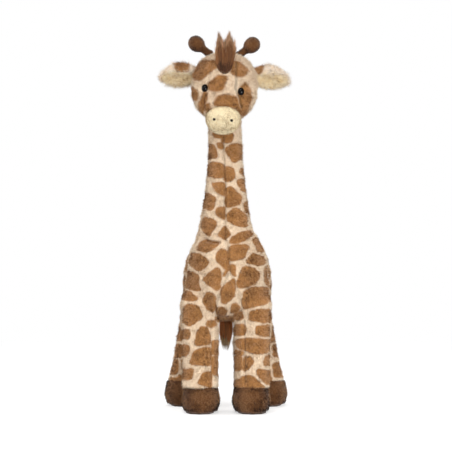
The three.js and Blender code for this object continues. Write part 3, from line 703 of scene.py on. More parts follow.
def spread_patches(obj, seed, allowed, drawn_of, spacing=PATCH_SPACING):
    """Ovals over the allowed places of a skin, each at its distance from the others."""
    draw = np.random.default_rng(seed)
    places, normals = points_of(obj), points_of(obj, "normal")
    free = allowed(places, normals) & (drawn_of(places) > spacing * DRAWN_CLEARING)
    centres = np.full((1, 3), float(NOWHERE))
    patches = []
    for i in draw.permutation(np.where(free)[0]):
        if (np.linalg.norm(centres - places[i], axis=1) > spacing).all():
            centres = np.vstack([centres, places[i]])
            long, short = spacing * draw.uniform(*PATCH_LONG), spacing * draw.uniform(*PATCH_SHORT)
            turn = draw.uniform(-PATCH_TURN, PATCH_TURN)
            patches.append(patch_oval(Vector(places[i]), Vector(normals[i]), short, long, turn))
    return patches


def patch_share(points, patches, drawn_of, start_of, seed=0, softness=EDGE_SOFTNESS):
    """How much of each point is caramel, from 0 on the net to 1 inside a patch."""
    wave = np.sin(points * 430 + seed) * 0.5 + np.sin(points[:, [1, 2, 0]] * 870 + 2 * seed) * 0.35
    points = points + wave[:, [2, 0, 1]] * EDGE_WAVER
    drawn = drawn_of(points)
    depth = DRAWN_SPREAD - drawn
    behind = points[:, 1] - start_of(points)
    for side in (False, True):
        far_off = (NOWHERE,) * 3 + (1,) * 9 + (MM, side)
        ovals = np.array([p for p in patches if p[13] == side] + [far_off] * 2, float)
        chosen = np.where(((points[:, 0] > 0) == side) & (behind > -OVER_THE_END[0]))[0]
        for i in range(0, len(chosen), POINTS_AT_ONCE):
            part = chosen[i:i + POINTS_AT_ONCE]
            away = points[part, None, :] - ovals[None, :, :3]
            reach = sum(np.abs((away * ovals[None, :, k:k + 3]).sum(2)) ** PATCH_SQUARENESS
                        for k in (3, 6, 9))
            order = np.sort((reach ** (1 / PATCH_SQUARENESS) - 1) * ovals[None, :, 12], axis=1)
            between = (order[:, 1] - order[:, 0]) / 2 - NET_HALF_WIDTH
            inside = np.minimum(np.minimum(-order[:, 0], between), drawn[part] - 1.7 * NET_HALF_WIDTH)
            depth[part] = np.maximum(depth[part], np.minimum(inside, behind[part] + OVER_THE_END[1]))
    return np.clip(depth / softness + 0.5, 0, 1)


def store(obj, name, values):
    attribute = obj.data.attributes.get(name) or obj.data.attributes.new(name, "FLOAT", "POINT")
    attribute.data.foreach_set("value", values.astype(np.float32))


def paint(obj, share_of, seam_points):
    """Puts the pattern and the painted shade of the creases on a skin, as attributes that its ground reads.
    """
    store(obj, "patch", share_of(points_of(obj)))
    store(obj, "painted_crease_shade", np.exp(-(nearest_distance(points_of(obj), seam_points) / CREASE_WIDTH) ** 2))
    obj.data.materials.clear()
    obj.data.materials.append(patched_ground)


body_patches = spread_patches(body, 7, lambda p, n: p[:, 1] > front_end(p) + 5 * MM, body_drawn)


def body_share(points):
    """The share of caramel at points of the body or a leg."""
    return patch_share(points, body_patches, body_drawn, front_end)


paint(body, body_share, seams + dart)
print("spread patches:", len(body_patches))

# %% [markdown]
# The cover is one cloth, but the toy's limbs move, so it is parted where the hips bend. Each leg keeps
# what lies below the hip. The cut faces are closed, and the pile hides them.

# %% Parting the legs
HIP_CUT = 150
LEG_REACH = 31
INNER_CUT = 9
OUTER_CUT, UNDER_CUT = 130, -20
CUT_ANGLE = 55


def kept_side(obj, place, normal):
    """Cuts a closed mesh by a plane, keeps the side against the normal, and closes the cut."""
    alone(obj)
    bpy.ops.object.mode_set(mode="EDIT")
    bpy.ops.mesh.select_all(action="SELECT")
    bpy.ops.mesh.bisect(plane_co=Vector(place) * MM, plane_no=normal, use_fill=True, clear_outer=True)
    bpy.ops.object.mode_set(mode="OBJECT")
    return obj


def copy_of(obj, name):
    twin = obj.copy()
    twin.data = obj.data.copy()
    twin.name = twin.data.name = name
    bpy.context.scene.collection.objects.link(twin)
    return twin


def block(name, low, high):
    size = Vector(high) - Vector(low)
    alone()
    bpy.ops.mesh.primitive_cube_add(size=MM, location=(Vector(low) + size / 2) * MM, scale=size)
    return place_applied(named(name))


legs = {}
cutters = []
for end, side, sign in LEGS:
    front_y, back_y = HIP[end][1] - LEG_REACH, HIP[end][1] + LEG_REACH
    leg = copy_of(body, f"leg_skin_{end}_{side}")
    kept_side(leg, (0, 0, HIP_CUT), (0, 0, 1))
    kept_side(leg, (sign * INNER_CUT, 0, 0), (-sign, 0, 0))
    kept_side(leg, (0, front_y, 0), (0, -1, 0))
    kept_side(leg, (0, back_y, 0), (0, 1, 0))
    legs[end, side] = leg
    low_x, high_x = sorted((sign * INNER_CUT, sign * OUTER_CUT))
    cutters.append(block(f"cut_{end}_{side}", (low_x, front_y, UNDER_CUT), (high_x, back_y, HIP_CUT)))
for cutter in cutters:
    apply_modifier(body, "BOOLEAN", operation="DIFFERENCE", object=cutter, solver="EXACT")
    bpy.data.objects.remove(cutter)
for piece in (body, *legs.values()):
    piece.data.set_sharp_from_angle(angle=math.radians(CUT_ANGLE))
    paint(piece, body_share, seams + dart)
print("leg skins:", [len(leg.data.vertices) for leg in legs.values()], "torso:", len(body.data.vertices))

# %% [markdown]
# The pile is real geometry: every fibre is a thin three-sided spike of four faces, rooted in the skin,
# combed down and a little tangled. A real pile has thousands to the square centimetre, so these are
# drawn thicker and fewer, as coarse as the picture can show. All the fibres of a pile are one mesh.

# %% Roots and fibres
def skin_points(obj, per_mm2, seed, keep=None):
    """Evenly spread random points on a skin, with their normals."""
    mesh = obj.data
    mesh.calc_loop_triangles()
    corners = np.empty(len(mesh.loop_triangles) * 3, dtype=np.int64)
    mesh.loop_triangles.foreach_get("vertices", corners)
    corners = corners.reshape(-1, 3)
    places, normals = points_of(obj), points_of(obj, "normal")
    a, b, c = (places[corners[:, k]] for k in range(3))
    areas = np.linalg.norm(np.cross(b - a, c - a), axis=1) / 2
    draw = np.random.default_rng(seed)
    count = int(areas.sum() / MM ** 2 * per_mm2)
    pick = draw.choice(len(areas), size=count, p=areas / areas.sum())
    u, v = draw.random((2, count))
    u, v = np.where(u + v > 1, (1 - u, 1 - v), (u, v))
    shares = np.stack([1 - u - v, u, v], axis=1)[:, :, None]
    roots, up = ((values[corners[pick]] * shares).sum(axis=1) for values in (places, normals))
    up /= np.linalg.norm(up, axis=1, keepdims=True)
    if keep is not None:
        wanted = keep(roots, up)
        roots, up = roots[wanted], up[wanted]
    return roots, up


def unit(vectors):
    return vectors / np.maximum(np.linalg.norm(vectors, axis=-1, keepdims=True), 1e-9)


def fibres(name, roots, ways, lengths, widths, tints, materials, bends=None, steps=1, tones=(0,)):
    """One mesh of tapered three-sided fibres. `bends` moves each tip sideways, more and more to the end,
    and `tones` steps to other materials along the fibre."""
    count = len(roots)
    side = unit(np.cross(ways, np.tile((0.31, 0.93, 0.2), (count, 1))))
    other = np.cross(ways, side)
    rings = []
    for step in range(steps):
        t = step / steps
        centre = roots + ways * (lengths * t)[:, None] + (0 if bends is None else bends * t ** 2)
        radius = (widths / 2 * (1 - 0.55 * t))[:, None]
        for k in range(3):
            angle = math.tau * k / 3
            rings.append(centre + side * radius * math.cos(angle) + other * radius * math.sin(angle))
    rings.append(roots + ways * lengths[:, None] + (0 if bends is None else bends))
    vertices = np.stack(rings, axis=1).reshape(-1, 3)
    pattern = [(0, 2, 1)]
    tone = [tones[0]]
    for step in range(steps - 1):
        a, b = 3 * step, 3 * step + 3
        tone += [tones[min(step, len(tones) - 1)]] * 6
        for k in range(3):
            m = (k + 1) % 3
            pattern += [(a + k, a + m, b + m), (a + k, b + m, b + k)]
    last, tip = 3 * (steps - 1), 3 * steps
    pattern += [(last + k, last + (k + 1) % 3, tip) for k in range(3)]
    tone += [tones[-1]] * 3
    faces = (np.array(pattern)[None] + (np.arange(count) * (tip + 1))[:, None, None]).reshape(-1, 3)
    mesh = bpy.data.meshes.new(name)
    mesh.from_pydata(vertices.tolist(), [], faces.tolist())
    for material in materials:
        mesh.materials.append(material)
    indices = np.repeat(tints, len(pattern)) + np.tile(tone, count)
    mesh.polygons.foreach_set("material_index", indices.astype(np.int32))
    mesh.polygons.foreach_set("use_smooth", np.ones(len(faces), dtype=bool))
    mesh.update()
    obj = bpy.data.objects.new(name, mesh)
    bpy.context.scene.collection.objects.link(obj)
    return obj


# %% [markdown]
# Pile is never even: it lies with the nap, it parts at the seams, and its tufts cling together. Smooth
# waves of a few millimetres bend the comb, and the fibres of one tuft share one random number. Each
# fibre takes its colour where it is rooted, lighter or darker as it lies: random tone with painted
# sheen and shade of the nap, and painted shade in the seams.

# %% Comb, tufts and tints
PILE_LENGTH = 4.0
PILE_WIDTH = 0.6
PILE_DENSITY = 0.85
PILE_SUNK = 0.6
TUFT = 1.9 * MM
# how far from a seam the fibres take the painted shade of the fold, and how far they are shorter
FOLD_SHADE_REACH, SHORTENED = 2.5 * MM, 4.2 * MM


def tangled(roots, scale, seed):
    """A smooth random vector at each place: how the pile happens to be brushed there."""
    p = roots / (scale * MM)
    return np.stack([
        np.sin(p[:, 0] * 1.3 + seed) * np.cos(p[:, 1] * 1.7 + 2.1 * seed) + np.sin(p[:, 2] * 1.1 + 0.7),
        np.sin(p[:, 1] * 1.2 + 1.9 * seed) * np.cos(p[:, 2] * 1.5) + np.sin(p[:, 0] * 0.9 + 1.3),
        np.sin(p[:, 2] * 1.4 + seed) * np.cos(p[:, 0] * 1.6 + 0.5) + np.sin(p[:, 1] * 1.05 + 2.9),
    ], axis=1) / 2


def tuft_chance(roots, seed):
    """A random number from 0 to 1 that all the fibres of one small tuft share."""
    cells = np.floor(roots / TUFT)
    return np.modf(np.abs(np.sin(cells @ np.array((12.99, 78.23, 37.72)) + seed) * 43758.5))[0]


def combed(roots, up, seed, down=(0, 0, -1), lean=0.55, mess=0.32):
    """Directions of pile that stands up, leans with the comb and is tangled a little."""
    draw = np.random.default_rng(seed + 1)
    comb = np.tile(np.array(down, float), (len(roots), 1)) + 0.7 * tangled(roots, 16, seed)
    comb -= up * (comb * up).sum(1, keepdims=True)
    tuft = np.stack([tuft_chance(roots, k) for k in (1, 2, 3)], axis=1) - 0.5
    return unit(up + lean * unit(comb) + mess * draw.normal(size=roots.shape) + 0.8 * tuft
                + 0.5 * tangled(roots, 4, seed + 3))


def nap_tints(roots, draw, scale=5, nap=0.7):
    """Which tint each fibre takes: pile lies this way or that, and its lighter and darker tints are painted
    sheen and shade of that nap, with random tone.
    """
    wave = tangled(roots, scale, 9).sum(axis=1)
    return np.clip(np.floor(
        1.5 + nap * wave + 2.4 * (tuft_chance(roots, 0) - 0.5) + 0.5 * draw.normal(size=len(roots))),
        0, 2).astype(int)


def dark_tints(roots, draw):
    """The dark plush is brushed more unevenly, in larger marks, and its painted sheen and shade follow them
    more strongly.
    """
    return nap_tints(roots, draw, scale=7, nap=1.7)


def short_pile(name, skin, per_mm2, seed, tints_of, materials, keep=None, length=PILE_LENGTH,
               width=PILE_WIDTH, near=None, **comb):
    """Pile over a skin. `tints_of` picks each fibre's colour, and `near` are seams it parts at,
    where the shorter fibres in the fold take the darkest tint as painted shade."""
    roots, up = skin_points(skin, per_mm2, seed, keep)
    draw = np.random.default_rng(seed + 2)
    ways = combed(roots, up, seed, **comb)
    lengths = length * MM * draw.uniform(0.65, 1.15, len(roots)) * (1 + 0.3 * tangled(roots, 3, seed)[:, 0])
    widths = width * MM * draw.uniform(0.75, 1.25, len(roots))
    tints = tints_of(roots, draw)
    if near is not None:
        away = nearest_distance(roots, near)
        lengths *= np.clip(away / SHORTENED, 0.12, 1)
        # fibres close to a seam take the last, darkest tint: painted shade in the fold
        fold_shaded = away < FOLD_SHADE_REACH * draw.uniform(0.6, 1.1, len(roots))
        tints = np.where(fold_shaded, tints - tints % 4 + 3, tints)
    return fibres(name, roots - ways * PILE_SUNK * MM, ways, lengths, widths, tints, materials)


def patch_tints(share_of):
    """Picks the cream or the caramel tints, both mixed along a patch's edge."""
    def pick(roots, draw):
        brown = share_of(roots) > draw.uniform(0.15, 0.85, len(roots))
        return nap_tints(roots, draw) + 4 * brown
    return pick


# %% [markdown]
# The body's pile is in three bands, so that no mesh grows too large.

# %% Pile on the body and the legs
PATCHED = cream_pile + caramel_pile
LEG_PILE_END = 38 * MM


def in_cut(points, margin=0.05):
    """True on the closed faces of the cuts, where no pile grows."""
    flat = np.abs(points[:, 2] - HIP_CUT * MM) < margin * MM
    for end in ("front", "rear"):
        for side in (-1, 1):
            flat |= np.abs(points[:, 1] - (HIP[end][1] + side * LEG_REACH) * MM) < margin * MM
            flat |= np.abs(points[:, 0] - side * INNER_CUT * MM) < margin * MM
    return flat & (points[:, 2] < (HIP_CUT + 1) * MM)


# name, lowest, highest, and the side of Y = 0 that it covers, or 0 for both
PILE_BANDS = [("neck_pile", 262, 440, 0), ("chest_pile", 0, 262, -1), ("back_pile", 0, 262, 1)]
body_piles = []
for index, (name, low, high, half) in enumerate(PILE_BANDS):
    body_piles.append(short_pile(
        name, body, PILE_DENSITY, 11 + index, patch_tints(body_share), PATCHED, near=seams + dart,
        keep=lambda p, n: (p[:, 2] > low * MM) & (p[:, 2] <= high * MM) & ~in_cut(p)
        & ((half == 0) | (p[:, 1] * half > 0))))
for piece in (body, *body_piles):
    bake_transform(piece)
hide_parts("torso_cover", "belly_gusset", "torso_stuffing", "neck_cover", "neck_stuffing")

leg_piles = []
for index, ((end, side), leg) in enumerate(legs.items()):
    name = f"{end}_{side}"
    leg_piles.append(short_pile(
        f"leg_pile_{name}", leg, PILE_DENSITY, 20 + index, patch_tints(body_share), PATCHED,
        near=seams, keep=lambda p, n: ~in_cut(p) & (p[:, 2] > LEG_PILE_END)))
    for piece in (leg, leg_piles[-1]):
        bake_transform(piece)
    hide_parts(f"leg_cover_{name}", f"leg_stuffing_{name}")
print("fibres:", [len(pile.data.vertices) // 4 for pile in body_piles + leg_piles])

# %% [markdown]
# The head is one egg lying along the face, over a ball that sits on the neck, and it leans a little to
# one side as in the photograph. It is made in the head's own place and then moved there.

# %% Head
HEAD_PIVOT = Vector((-2.39, -30, 470.99))
HEAD_ROLL = 1.4
FACE_TILT = 50
FACE_CENTRE = Vector((0, -22, 11))
HEAD_BALL = 42
FACE_ROWS = [
    # along the face, half width, up, down
    (-45, 17, 15, 20), (-39, 30.5, 27.5, 34), (-27, 41.5, 38.5, 42.7), (-8.8, 45.8, 44.3, 43.6),
    (5, 46, 44, 38.3), (19.7, 45.6, 38.7, 28), (32.4, 45, 32.1, 23), (44.2, 40.4, 25.1, 21.5),
    (52, 33.5, 20.5, 20.5), (56, 27, 17, 18),
]
head_place = Matrix.Translation(HEAD_PIVOT * MM) @ Matrix.Rotation(math.radians(HEAD_ROLL), 4, "Y")
face_place = (head_place @ Matrix.Translation(FACE_CENTRE * MM)
              @ Matrix.Rotation(math.radians(90 + FACE_TILT), 4, "X"))


def moved(obj, matrix):
    obj.data.transform(matrix)
    return obj


face = ring_form("face_form", [(0, (up - down) / 2, d, w, (up + down) / 2) for d, w, up, down in FACE_ROWS])
head = fused("head_skin", [
    moved(face, face_place), moved(ball_form("crown_form", 0, 0, 0, HEAD_BALL), head_place),
], voxel=2.6, smoothing=5)

print("head form:", [round(v / MM) for v in head.dimensions])

# %% [markdown]
# Its seams run from the crown down each side of the face. The pile parts along one of them and hides
# the other, as in the photograph. The patches of the face are drawn as the body's were.

# %% Seams and patches on the head
HEAD_COLLAR = 446 * MM
HEAD_SWELL_CAP = 1.2 * MM
HEAD_SEAMS = [
    [(236.4, 62), (236.5, 78), (235.6, 88), (239.5, 97), (242.5, 108)],
    [(212, 62), (208.5, 80), (207, 91), (203.5, 101), (204.5, 110)],
]
head_tree = tree_of(head)
head_seams = [p for row in HEAD_SEAMS for p in drawn_seam(head_tree, row)]
stuff(head, head_seams, held=lambda p: p[:, 2] < HEAD_COLLAR, cap=HEAD_SWELL_CAP)
drawn_in(head, head_seams, depth=1.5, spread=2.2)

HEAD_PATCHES = [
    [(203.5, 60.8), (215.5, 60.8), (222, 61), (222, 67), (216, 66.6),
     (207, 74.2), (199, 81.4), (193.6, 78.4), (194.6, 70)],
    [(219, 75.3), (227.2, 77), (222.2, 91.2), (209, 90.7), (207.7, 84)],
    [(230, 63), (237, 61.6), (243, 64.8), (248.2, 71), (244.4, 75.8), (236, 76.3), (231, 72)],
    [(216, 97), (225, 94.6), (236.8, 97), (243.2, 117.5), (236, 107.2), (214, 106.2)],
    [(245, 81.8), (250.3, 90), (251, 100), (246.4, 112), (243, 117), (238.3, 97), (239.8, 88)],
    [(190, 86), (192, 87.2), (198.7, 93), (196.2, 100.7), (190, 99)],
    [(205, 91), (208, 93), (203.2, 113.4), (201, 114.3), (198.7, 104)],
    [(205, 104.5), (209.8, 103.6), (209, 111), (205.5, 110.4)],
]
HEAD_FRONT_END = -46 * MM
HEAD_WAVE, HEAD_WAVE_LENGTH = 3 * MM, 6 * MM
HEAD_PATCHES_FROM = 440 * MM
HEAD_SOFTNESS = 3.8 * MM
head_outlines = [rounded(corners) for corners in HEAD_PATCHES]


def head_front_end(points):
    return HEAD_FRONT_END + HEAD_WAVE * np.sin(points[:, 2] / HEAD_WAVE_LENGTH)


def head_drawn(points):
    return np.maximum(drawn_distance(points, head_outlines), points[:, 1] - head_front_end(points))


head_patches = spread_patches(
    head, 3, lambda p, n: (p[:, 1] > head_front_end(p) + 5 * MM) & (p[:, 2] > HEAD_PATCHES_FROM),
    head_drawn)


def head_share(points):
    return patch_share(points, head_patches, head_drawn, head_front_end, 2, HEAD_SOFTNESS)


# the seam that shows is darkened as painted shade, on the skin and in the pile
open_seam = drawn_seam(head_tree, HEAD_SEAMS[0])
paint(head, head_share, open_seam)
print("head skin:", len(head.data.vertices), "points, patches:", len(head_patches))

# %% [markdown]
# The head's pile is a little finer and keeps off the eyes, whose rims would be lost in it.

# %% Pile on the head
EYE_PIXELS = {"right": (204.6, 88.0), "left": (241.2, 91.3)}
EYE_CLEARING = 5.2
head_tree = tree_of(head)
eye_spots = {side: seen_on(head_tree, *pixel) for side, pixel in EYE_PIXELS.items()}


def away_from(spots, reach):
    """Keeps pile off round spots, each a place and its normal."""
    centres = [tuple(place) for place, _ in spots.values()]
    return lambda p, n: nearest_distance(p, centres) > reach * MM


head_pile = short_pile(
    "head_pile", head, PILE_DENSITY * 1.2, 31, patch_tints(head_share), PATCHED, near=open_seam,
    keep=away_from(eye_spots, EYE_CLEARING), length=4.6, width=0.5, mess=0.42)
for piece in (head, head_pile):
    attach(piece, "head")
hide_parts("head_cover", "head_stuffing")
print("head fibres:", len(head_pile.data.vertices) // 4)

# %% [markdown]
# The muzzle is a cap of straw-coloured plush with a shorter pile, drawn in where the mouth and the
# nostrils are worked.

# %% Muzzle
MUZZLE_START, MUZZLE_END = 52.5, 80.5
MUZZLE_SHIFT = -0.7
MUZZLE_HALF_WIDTH, MUZZLE_HALF_HEIGHT = 25, 21
MUZZLE_DROP, MUZZLE_TAPER = -6.5, 4
NOSTRIL_CLEARING = 1.6
MUZZLE_ROWS = [
    # share of the way out, share of the half width and half height
    (-0.1, 0.84), (0, 0.94), (0.15, 1), (0.35, 1.01), (0.55, 0.96), (0.72, 0.86), (0.85, 0.7), (0.94, 0.48),
    (0.985, 0.26),
]

muzzle = ring_form("muzzle_form", [
    (MUZZLE_SHIFT, MUZZLE_DROP - MUZZLE_TAPER * t, MUZZLE_START + (MUZZLE_END - MUZZLE_START) * t,
     MUZZLE_HALF_WIDTH * k, MUZZLE_HALF_HEIGHT * k) for t, k in MUZZLE_ROWS])
muzzle = finer(fused("muzzle_skin", [moved(muzzle, face_place)], voxel=1.8, smoothing=4))
muzzle.data.materials.append(straw_ground)
muzzle_tree = tree_of(muzzle)
MOUTH = [(209.5, 129.2), (213, 131), (218, 132), (224, 132.3), (230, 131.8), (235, 130.6), (238.5, 128.6)]
NOSTRILS = {"right": (214.3, 119.2), "left": (231.5, 120.3)}
mouth = drawn_seam(muzzle_tree, MOUTH, step=0.5)
nostril_spots = {side: seen_on(muzzle_tree, *pixel) for side, pixel in NOSTRILS.items()}
nostril_places = [place for place, _ in nostril_spots.values()]
drawn_in(muzzle, mouth, depth=1.5, spread=1.6)
drawn_in(muzzle, nostril_places, depth=1.6, spread=2.6)
# beside the mouth and the nostrils the pile takes its darkest tint: painted shade of the drawn-in stitches
muzzle_pile = short_pile(
    "muzzle_pile", muzzle, PILE_DENSITY * 1.5, 41, nap_tints, straw_pile, near=mouth + nostril_places,
    length=2.3, keep=away_from(nostril_spots, NOSTRIL_CLEARING))
for piece in (muzzle, muzzle_pile):
    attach(piece, "head")
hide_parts("muzzle_cover", "muzzle_stuffing")
print("muzzle fibres:", len(muzzle_pile.data.vertices) // 4)

# %% [markdown]
# The mouth is one line of stitches and each nostril a spot of five, side by side. Embroidery thread is
# round and smooth, so it shines a little beside the pile.

# %% Mouth and nostrils
STITCH_BROWN = "#2f1d10"
MOUTH_BROWN = "#8f7045"
STITCH_SUNK = 0.5
NOSTRIL_THREAD_GAP = 0.75
thread_material, _ = new_material("embroidery_thread", Base_Color=linear(STITCH_BROWN), Roughness=0.55)
mouth_thread, _ = new_material("mouth_thread", Base_Color=linear(MOUTH_BROWN), Roughness=0.6)


def threads(name, paths, thickness, material):
    """Round threads as one mesh; each path is its two ends with its middle between them."""
    roots, middles, tips = np.array([[tuple(place) for place in path] for path in paths]).swapaxes(0, 1)
    leaving = 4 * middles - 3 * roots - tips
    ways = unit(leaving)
    lengths = np.abs((leaving * ways).sum(1))
    bends = tips - roots - ways * lengths[:, None]
    widths = np.full(len(paths), thickness * MM)
    tints = np.zeros(len(paths), dtype=int)
    return fibres(name, roots, ways, lengths, widths, tints, [material], bends, steps=6)


def stitch(place, normal, across, length, proud):
    """A stitch's path: it comes out of the cloth, stands proud in its middle and goes in again."""
    half, sunk = across * (length / 2 * MM), normal * STITCH_SUNK * MM
    return place - half - sunk, place + normal * proud * MM, place + half - sunk


muzzle_tree = tree_of(muzzle)
mouth_pixels = [(a[0] + (b[0] - a[0]) * t, a[1] + (b[1] - a[1]) * t)
                for a, b in zip(MOUTH, MOUTH[1:]) for t in (0, 0.5)]
mouth_hits = [hit for hit in (seen_on(muzzle_tree, *p) for p in mouth_pixels) if hit]
mouth_paths = [
    stitch((a + b) / 2, normal, (b - a).normalized(), (b - a).length / MM * 1.25, proud=0.35)
    for (a, normal), (b, _) in zip(mouth_hits, mouth_hits[1:])]
mouth_line = threads("mouth_line", mouth_paths, 0.9, mouth_thread)
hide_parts("mouth_stitch")
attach(mouth_line, "head")
for side, pixel in NOSTRILS.items():
    place, normal = seen_on(muzzle_tree, *pixel)
    upright = (Vector((0, 0, 1)) - normal * normal.z).normalized()
    across = upright.cross(normal)
    paths = [stitch(place + across * (k * NOSTRIL_THREAD_GAP * MM), normal, upright,
                    5.8 - abs(k) * 0.9, proud=1.3) for k in (-2, -1, 0, 1, 2)]
    spot = threads(f"nostril_thread_{side}", paths, 1.3, thread_material)
    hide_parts(f"nostril_{side}")
    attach(spot, "head")
print("mouth stitches:", len(mouth_paths))

# %% [markdown]
# The eyes are moulded safety eyes: one smooth dome each, very dark brown, polished, with its rim sunk in
# the pile. Their washers lie inside the head.

# %% Eyes
EYE_RADIUS = 6
EYE_SUNK = 1.0
EYE_SHAPE = (0.8, 1, 0.72, 1)
eye_material, _ = new_material(
    "polished_eye_plastic", Base_Color=linear("#0a0605"), Roughness=0.08, Specular_IOR_Level=0.3)
washer_material, _ = new_material("washer_plastic", Base_Color=linear("#e8e6e0"), Roughness=0.5)
for side, (place, normal) in eye_spots.items():
    alone()
    bpy.ops.mesh.primitive_uv_sphere_add(segments=48, ring_count=24, radius=EYE_RADIUS * MM)
    eye = place_applied(named(f"eye_dome_{side}"))
    turn = normal.to_track_quat("Z", "Y").to_matrix().to_4x4()
    moved(eye, Matrix.Translation(place - normal * EYE_SUNK * MM) @ turn @ Matrix.Diagonal(EYE_SHAPE))
    eye.data.polygons.foreach_set("use_smooth", [True] * len(eye.data.polygons))
    eye.data.materials.append(eye_material)
    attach(eye, "head")
    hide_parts(f"eye_{side}")
    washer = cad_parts[f"eye_washer_{side}"]
    washer.data.materials.clear()
    washer.data.materials.append(washer_material)
print("eyes:", {side: [round(v / MM) for v in place] for side, (place, _) in eye_spots.items()})

# %% [markdown]
# Each ear is a flat stuffed leaf with its tip low and outward. Its back cloth wraps over the top edge,
# so a strip of the body's plush shows above the straw lining, its cream paler than the body's as
# painted light. Its pile is longer and untidy.

# %% Ears
EAR_PIVOT = Vector((46.6, -14.7, 25.6))
EAR_ROWS = [
    # outward, centre height, half height, half depth
    (-9, 0, 10, 4), (-2, 0, 12.8, 4.8), (8, 0.4, 16.2, 5.6), (17, 0.4, 17.6, 6), (26, -0.4, 17.6, 5.8),
    (34, -1.4, 15.2, 5), (40, -2.8, 12, 4), (45, -4.4, 8, 3.2), (48.5, -5.4, 4.4, 2.2), (50, -5.8, 1.8, 1.2),
]
LINING_ROWS = [
    (-6, -4.4, 7, 2.5), (3, -5, 9.8, 3.4), (12, -5.4, 11.6, 3.8), (21, -5.8, 12.2, 3.8),
    (29, -5.8, 11.6, 3.6), (36, -5.6, 9.4, 3), (42, -5.6, 6.4, 2.4), (46, -5.8, 2.4, 1.4),
]
LINING_FORWARD = 3.2
EAR_MIDDLE = (HEAD_PIVOT.y + EAR_PIVOT.y + 3.5) * MM
EAR_PATCH_SPACING = 24 * MM
EAR_PATCHES_END = (EAR_PIVOT.x + 12) * MM
EAR_PILE = {"length": 6.6, "width": 0.5}
NO_SEAM = [(NOWHERE,) * 3]
EAR_PATCHES = {
    "right": [(175.5, 58), (188.4, 58), (188.4, 71.4), (181, 72.4), (175.6, 69.6)],
    "left": [(250.4, 58), (262.4, 58), (262.2, 67), (260, 74), (250.4, 73)],
}


def ear_form(name, rows, sign, forward=0):
    """A leaf pulled up along Z, then laid along the ear's side of the head."""
    rings = [(centre, -forward, out, high, deep) for out, centre, high, deep in rows]
    lay = Matrix(((0, 0, sign, 0), (0, 1, 0, 0), (1, 0, 0, 0), (0, 0, 0, 1)))
    pivot = EAR_PIVOT * Vector((sign, 1, 1))
    form = moved(ring_form(name, rings, sides=32), head_place @ Matrix.Translation(pivot * MM) @ lay)
    return finer(fused(name, [face_outwards(form)], voxel=1.6, smoothing=4))


def ear_middle(points):
    """The plane between the ear's front and its back, as a Y."""
    return np.full(len(points), EAR_MIDDLE)


def ear_pattern(cover, side, seed):
    """The share of caramel at points of one ear, as a function of them."""
    outlines = [rounded(EAR_PATCHES[side])]

    def drawn(points):
        return np.maximum(drawn_distance(points, outlines), points[:, 1] - EAR_MIDDLE)

    patches = spread_patches(
        cover, seed, lambda p, n: (n[:, 1] > 0.6) & (np.abs(p[:, 0]) < EAR_PATCHES_END), drawn,
        EAR_PATCH_SPACING)

    def share(points):
        return patch_share(points, patches, drawn, ear_middle, 4, HEAD_SOFTNESS)
    return share


for index, (side, sign) in enumerate(SIDES):
    cover = ear_form(f"ear_skin_{side}", EAR_ROWS, sign)
    lining = ear_form(f"ear_lining_skin_{side}", LINING_ROWS, sign, LINING_FORWARD)
    ear_share = ear_pattern(cover, side, 60 + index)
    paint(cover, ear_share, NO_SEAM)
    lining.data.materials.append(ear_ground)
    cover_pile = short_pile(
        f"ear_pile_{side}", cover, PILE_DENSITY * 1.3, 50 + index, patch_tints(ear_share),
        lit_ear_pile + caramel_pile, down=(sign, -0.2, 0.15), lean=1.1, mess=0.6, **EAR_PILE)
    lining_pile = short_pile(
        f"ear_lining_pile_{side}", lining, PILE_DENSITY * 1.5, 52 + index, nap_tints, ear_pile,
        down=(sign, 0, -0.5), lean=1.2, mess=0.65, keep=lambda p, n: n[:, 1] < 0.4, **EAR_PILE)
    for piece, slot in ((cover, "plush_patched"), (cover_pile, "plush_patched"),
                        (lining, "plush_ear"), (lining_pile, "plush_ear")):
        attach(piece, f"ear_{side}")
    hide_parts(f"ear_cover_{side}")
    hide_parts(f"ear_lining_{side}")
    print(cover.name, "fibres:", len(cover_pile.data.vertices) // 4, len(lining_pile.data.vertices) // 4)

# %% [markdown]
# The horns are stalks with round knobs, in dark plush with a very short pile.

# %% Horns
HORN_PIVOT = Vector((21.3, -17.95, 56.6))
HORN_SPLAY = {"right": 53, "left": 50}
HORN_SHIFT = {"right": Vector((-3.2, 0, 0.8)), "left": Vector()}
HORN_ROWS = [
    # along the horn, radius
    (-4, 6.4), (0, 5.9), (5, 5.2), (9, 5.2), (12, 6.2), (14.6, 8.8), (18, 10.4), (22, 11), (26.4, 10.8),
    (30.4, 9.2), (33.2, 6.4), (34.8, 3),
]
for index, (side, sign) in enumerate(SIDES):
    horn = ring_form(f"horn_form_{side}", [(0, 0, z, r, r) for z, r in HORN_ROWS], sides=28)
    pivot = HORN_PIVOT * Vector((sign, 1, 1)) + HORN_SHIFT[side]
    splay = Matrix.Rotation(math.radians(HORN_SPLAY[side] * sign), 4, "Y")
    place = head_place @ Matrix.Translation(pivot * MM) @ splay
    horn = finer(fused(f"horn_skin_{side}", [moved(horn, place)], voxel=1.5, smoothing=3))
    horn.data.materials.append(hoof_ground)
    horn_pile = short_pile(
        f"horn_pile_{side}", horn, PILE_DENSITY * 1.5, 60 + index, dark_tints, hoof_pile,
        length=2.0, width=0.55)
    for piece in (horn, horn_pile):
        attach(piece, f"horn_{side}")
    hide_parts(f"horn_cover_{side}", f"horn_stuffing_{side}")
    print(horn.name, "fibres:", len(horn_pile.data.vertices) // 4)

# %% [markdown]
# The hooves are rounded boots of the dark plush over pellet pouches, widest a little above the ground,
# with a flat suede sole.

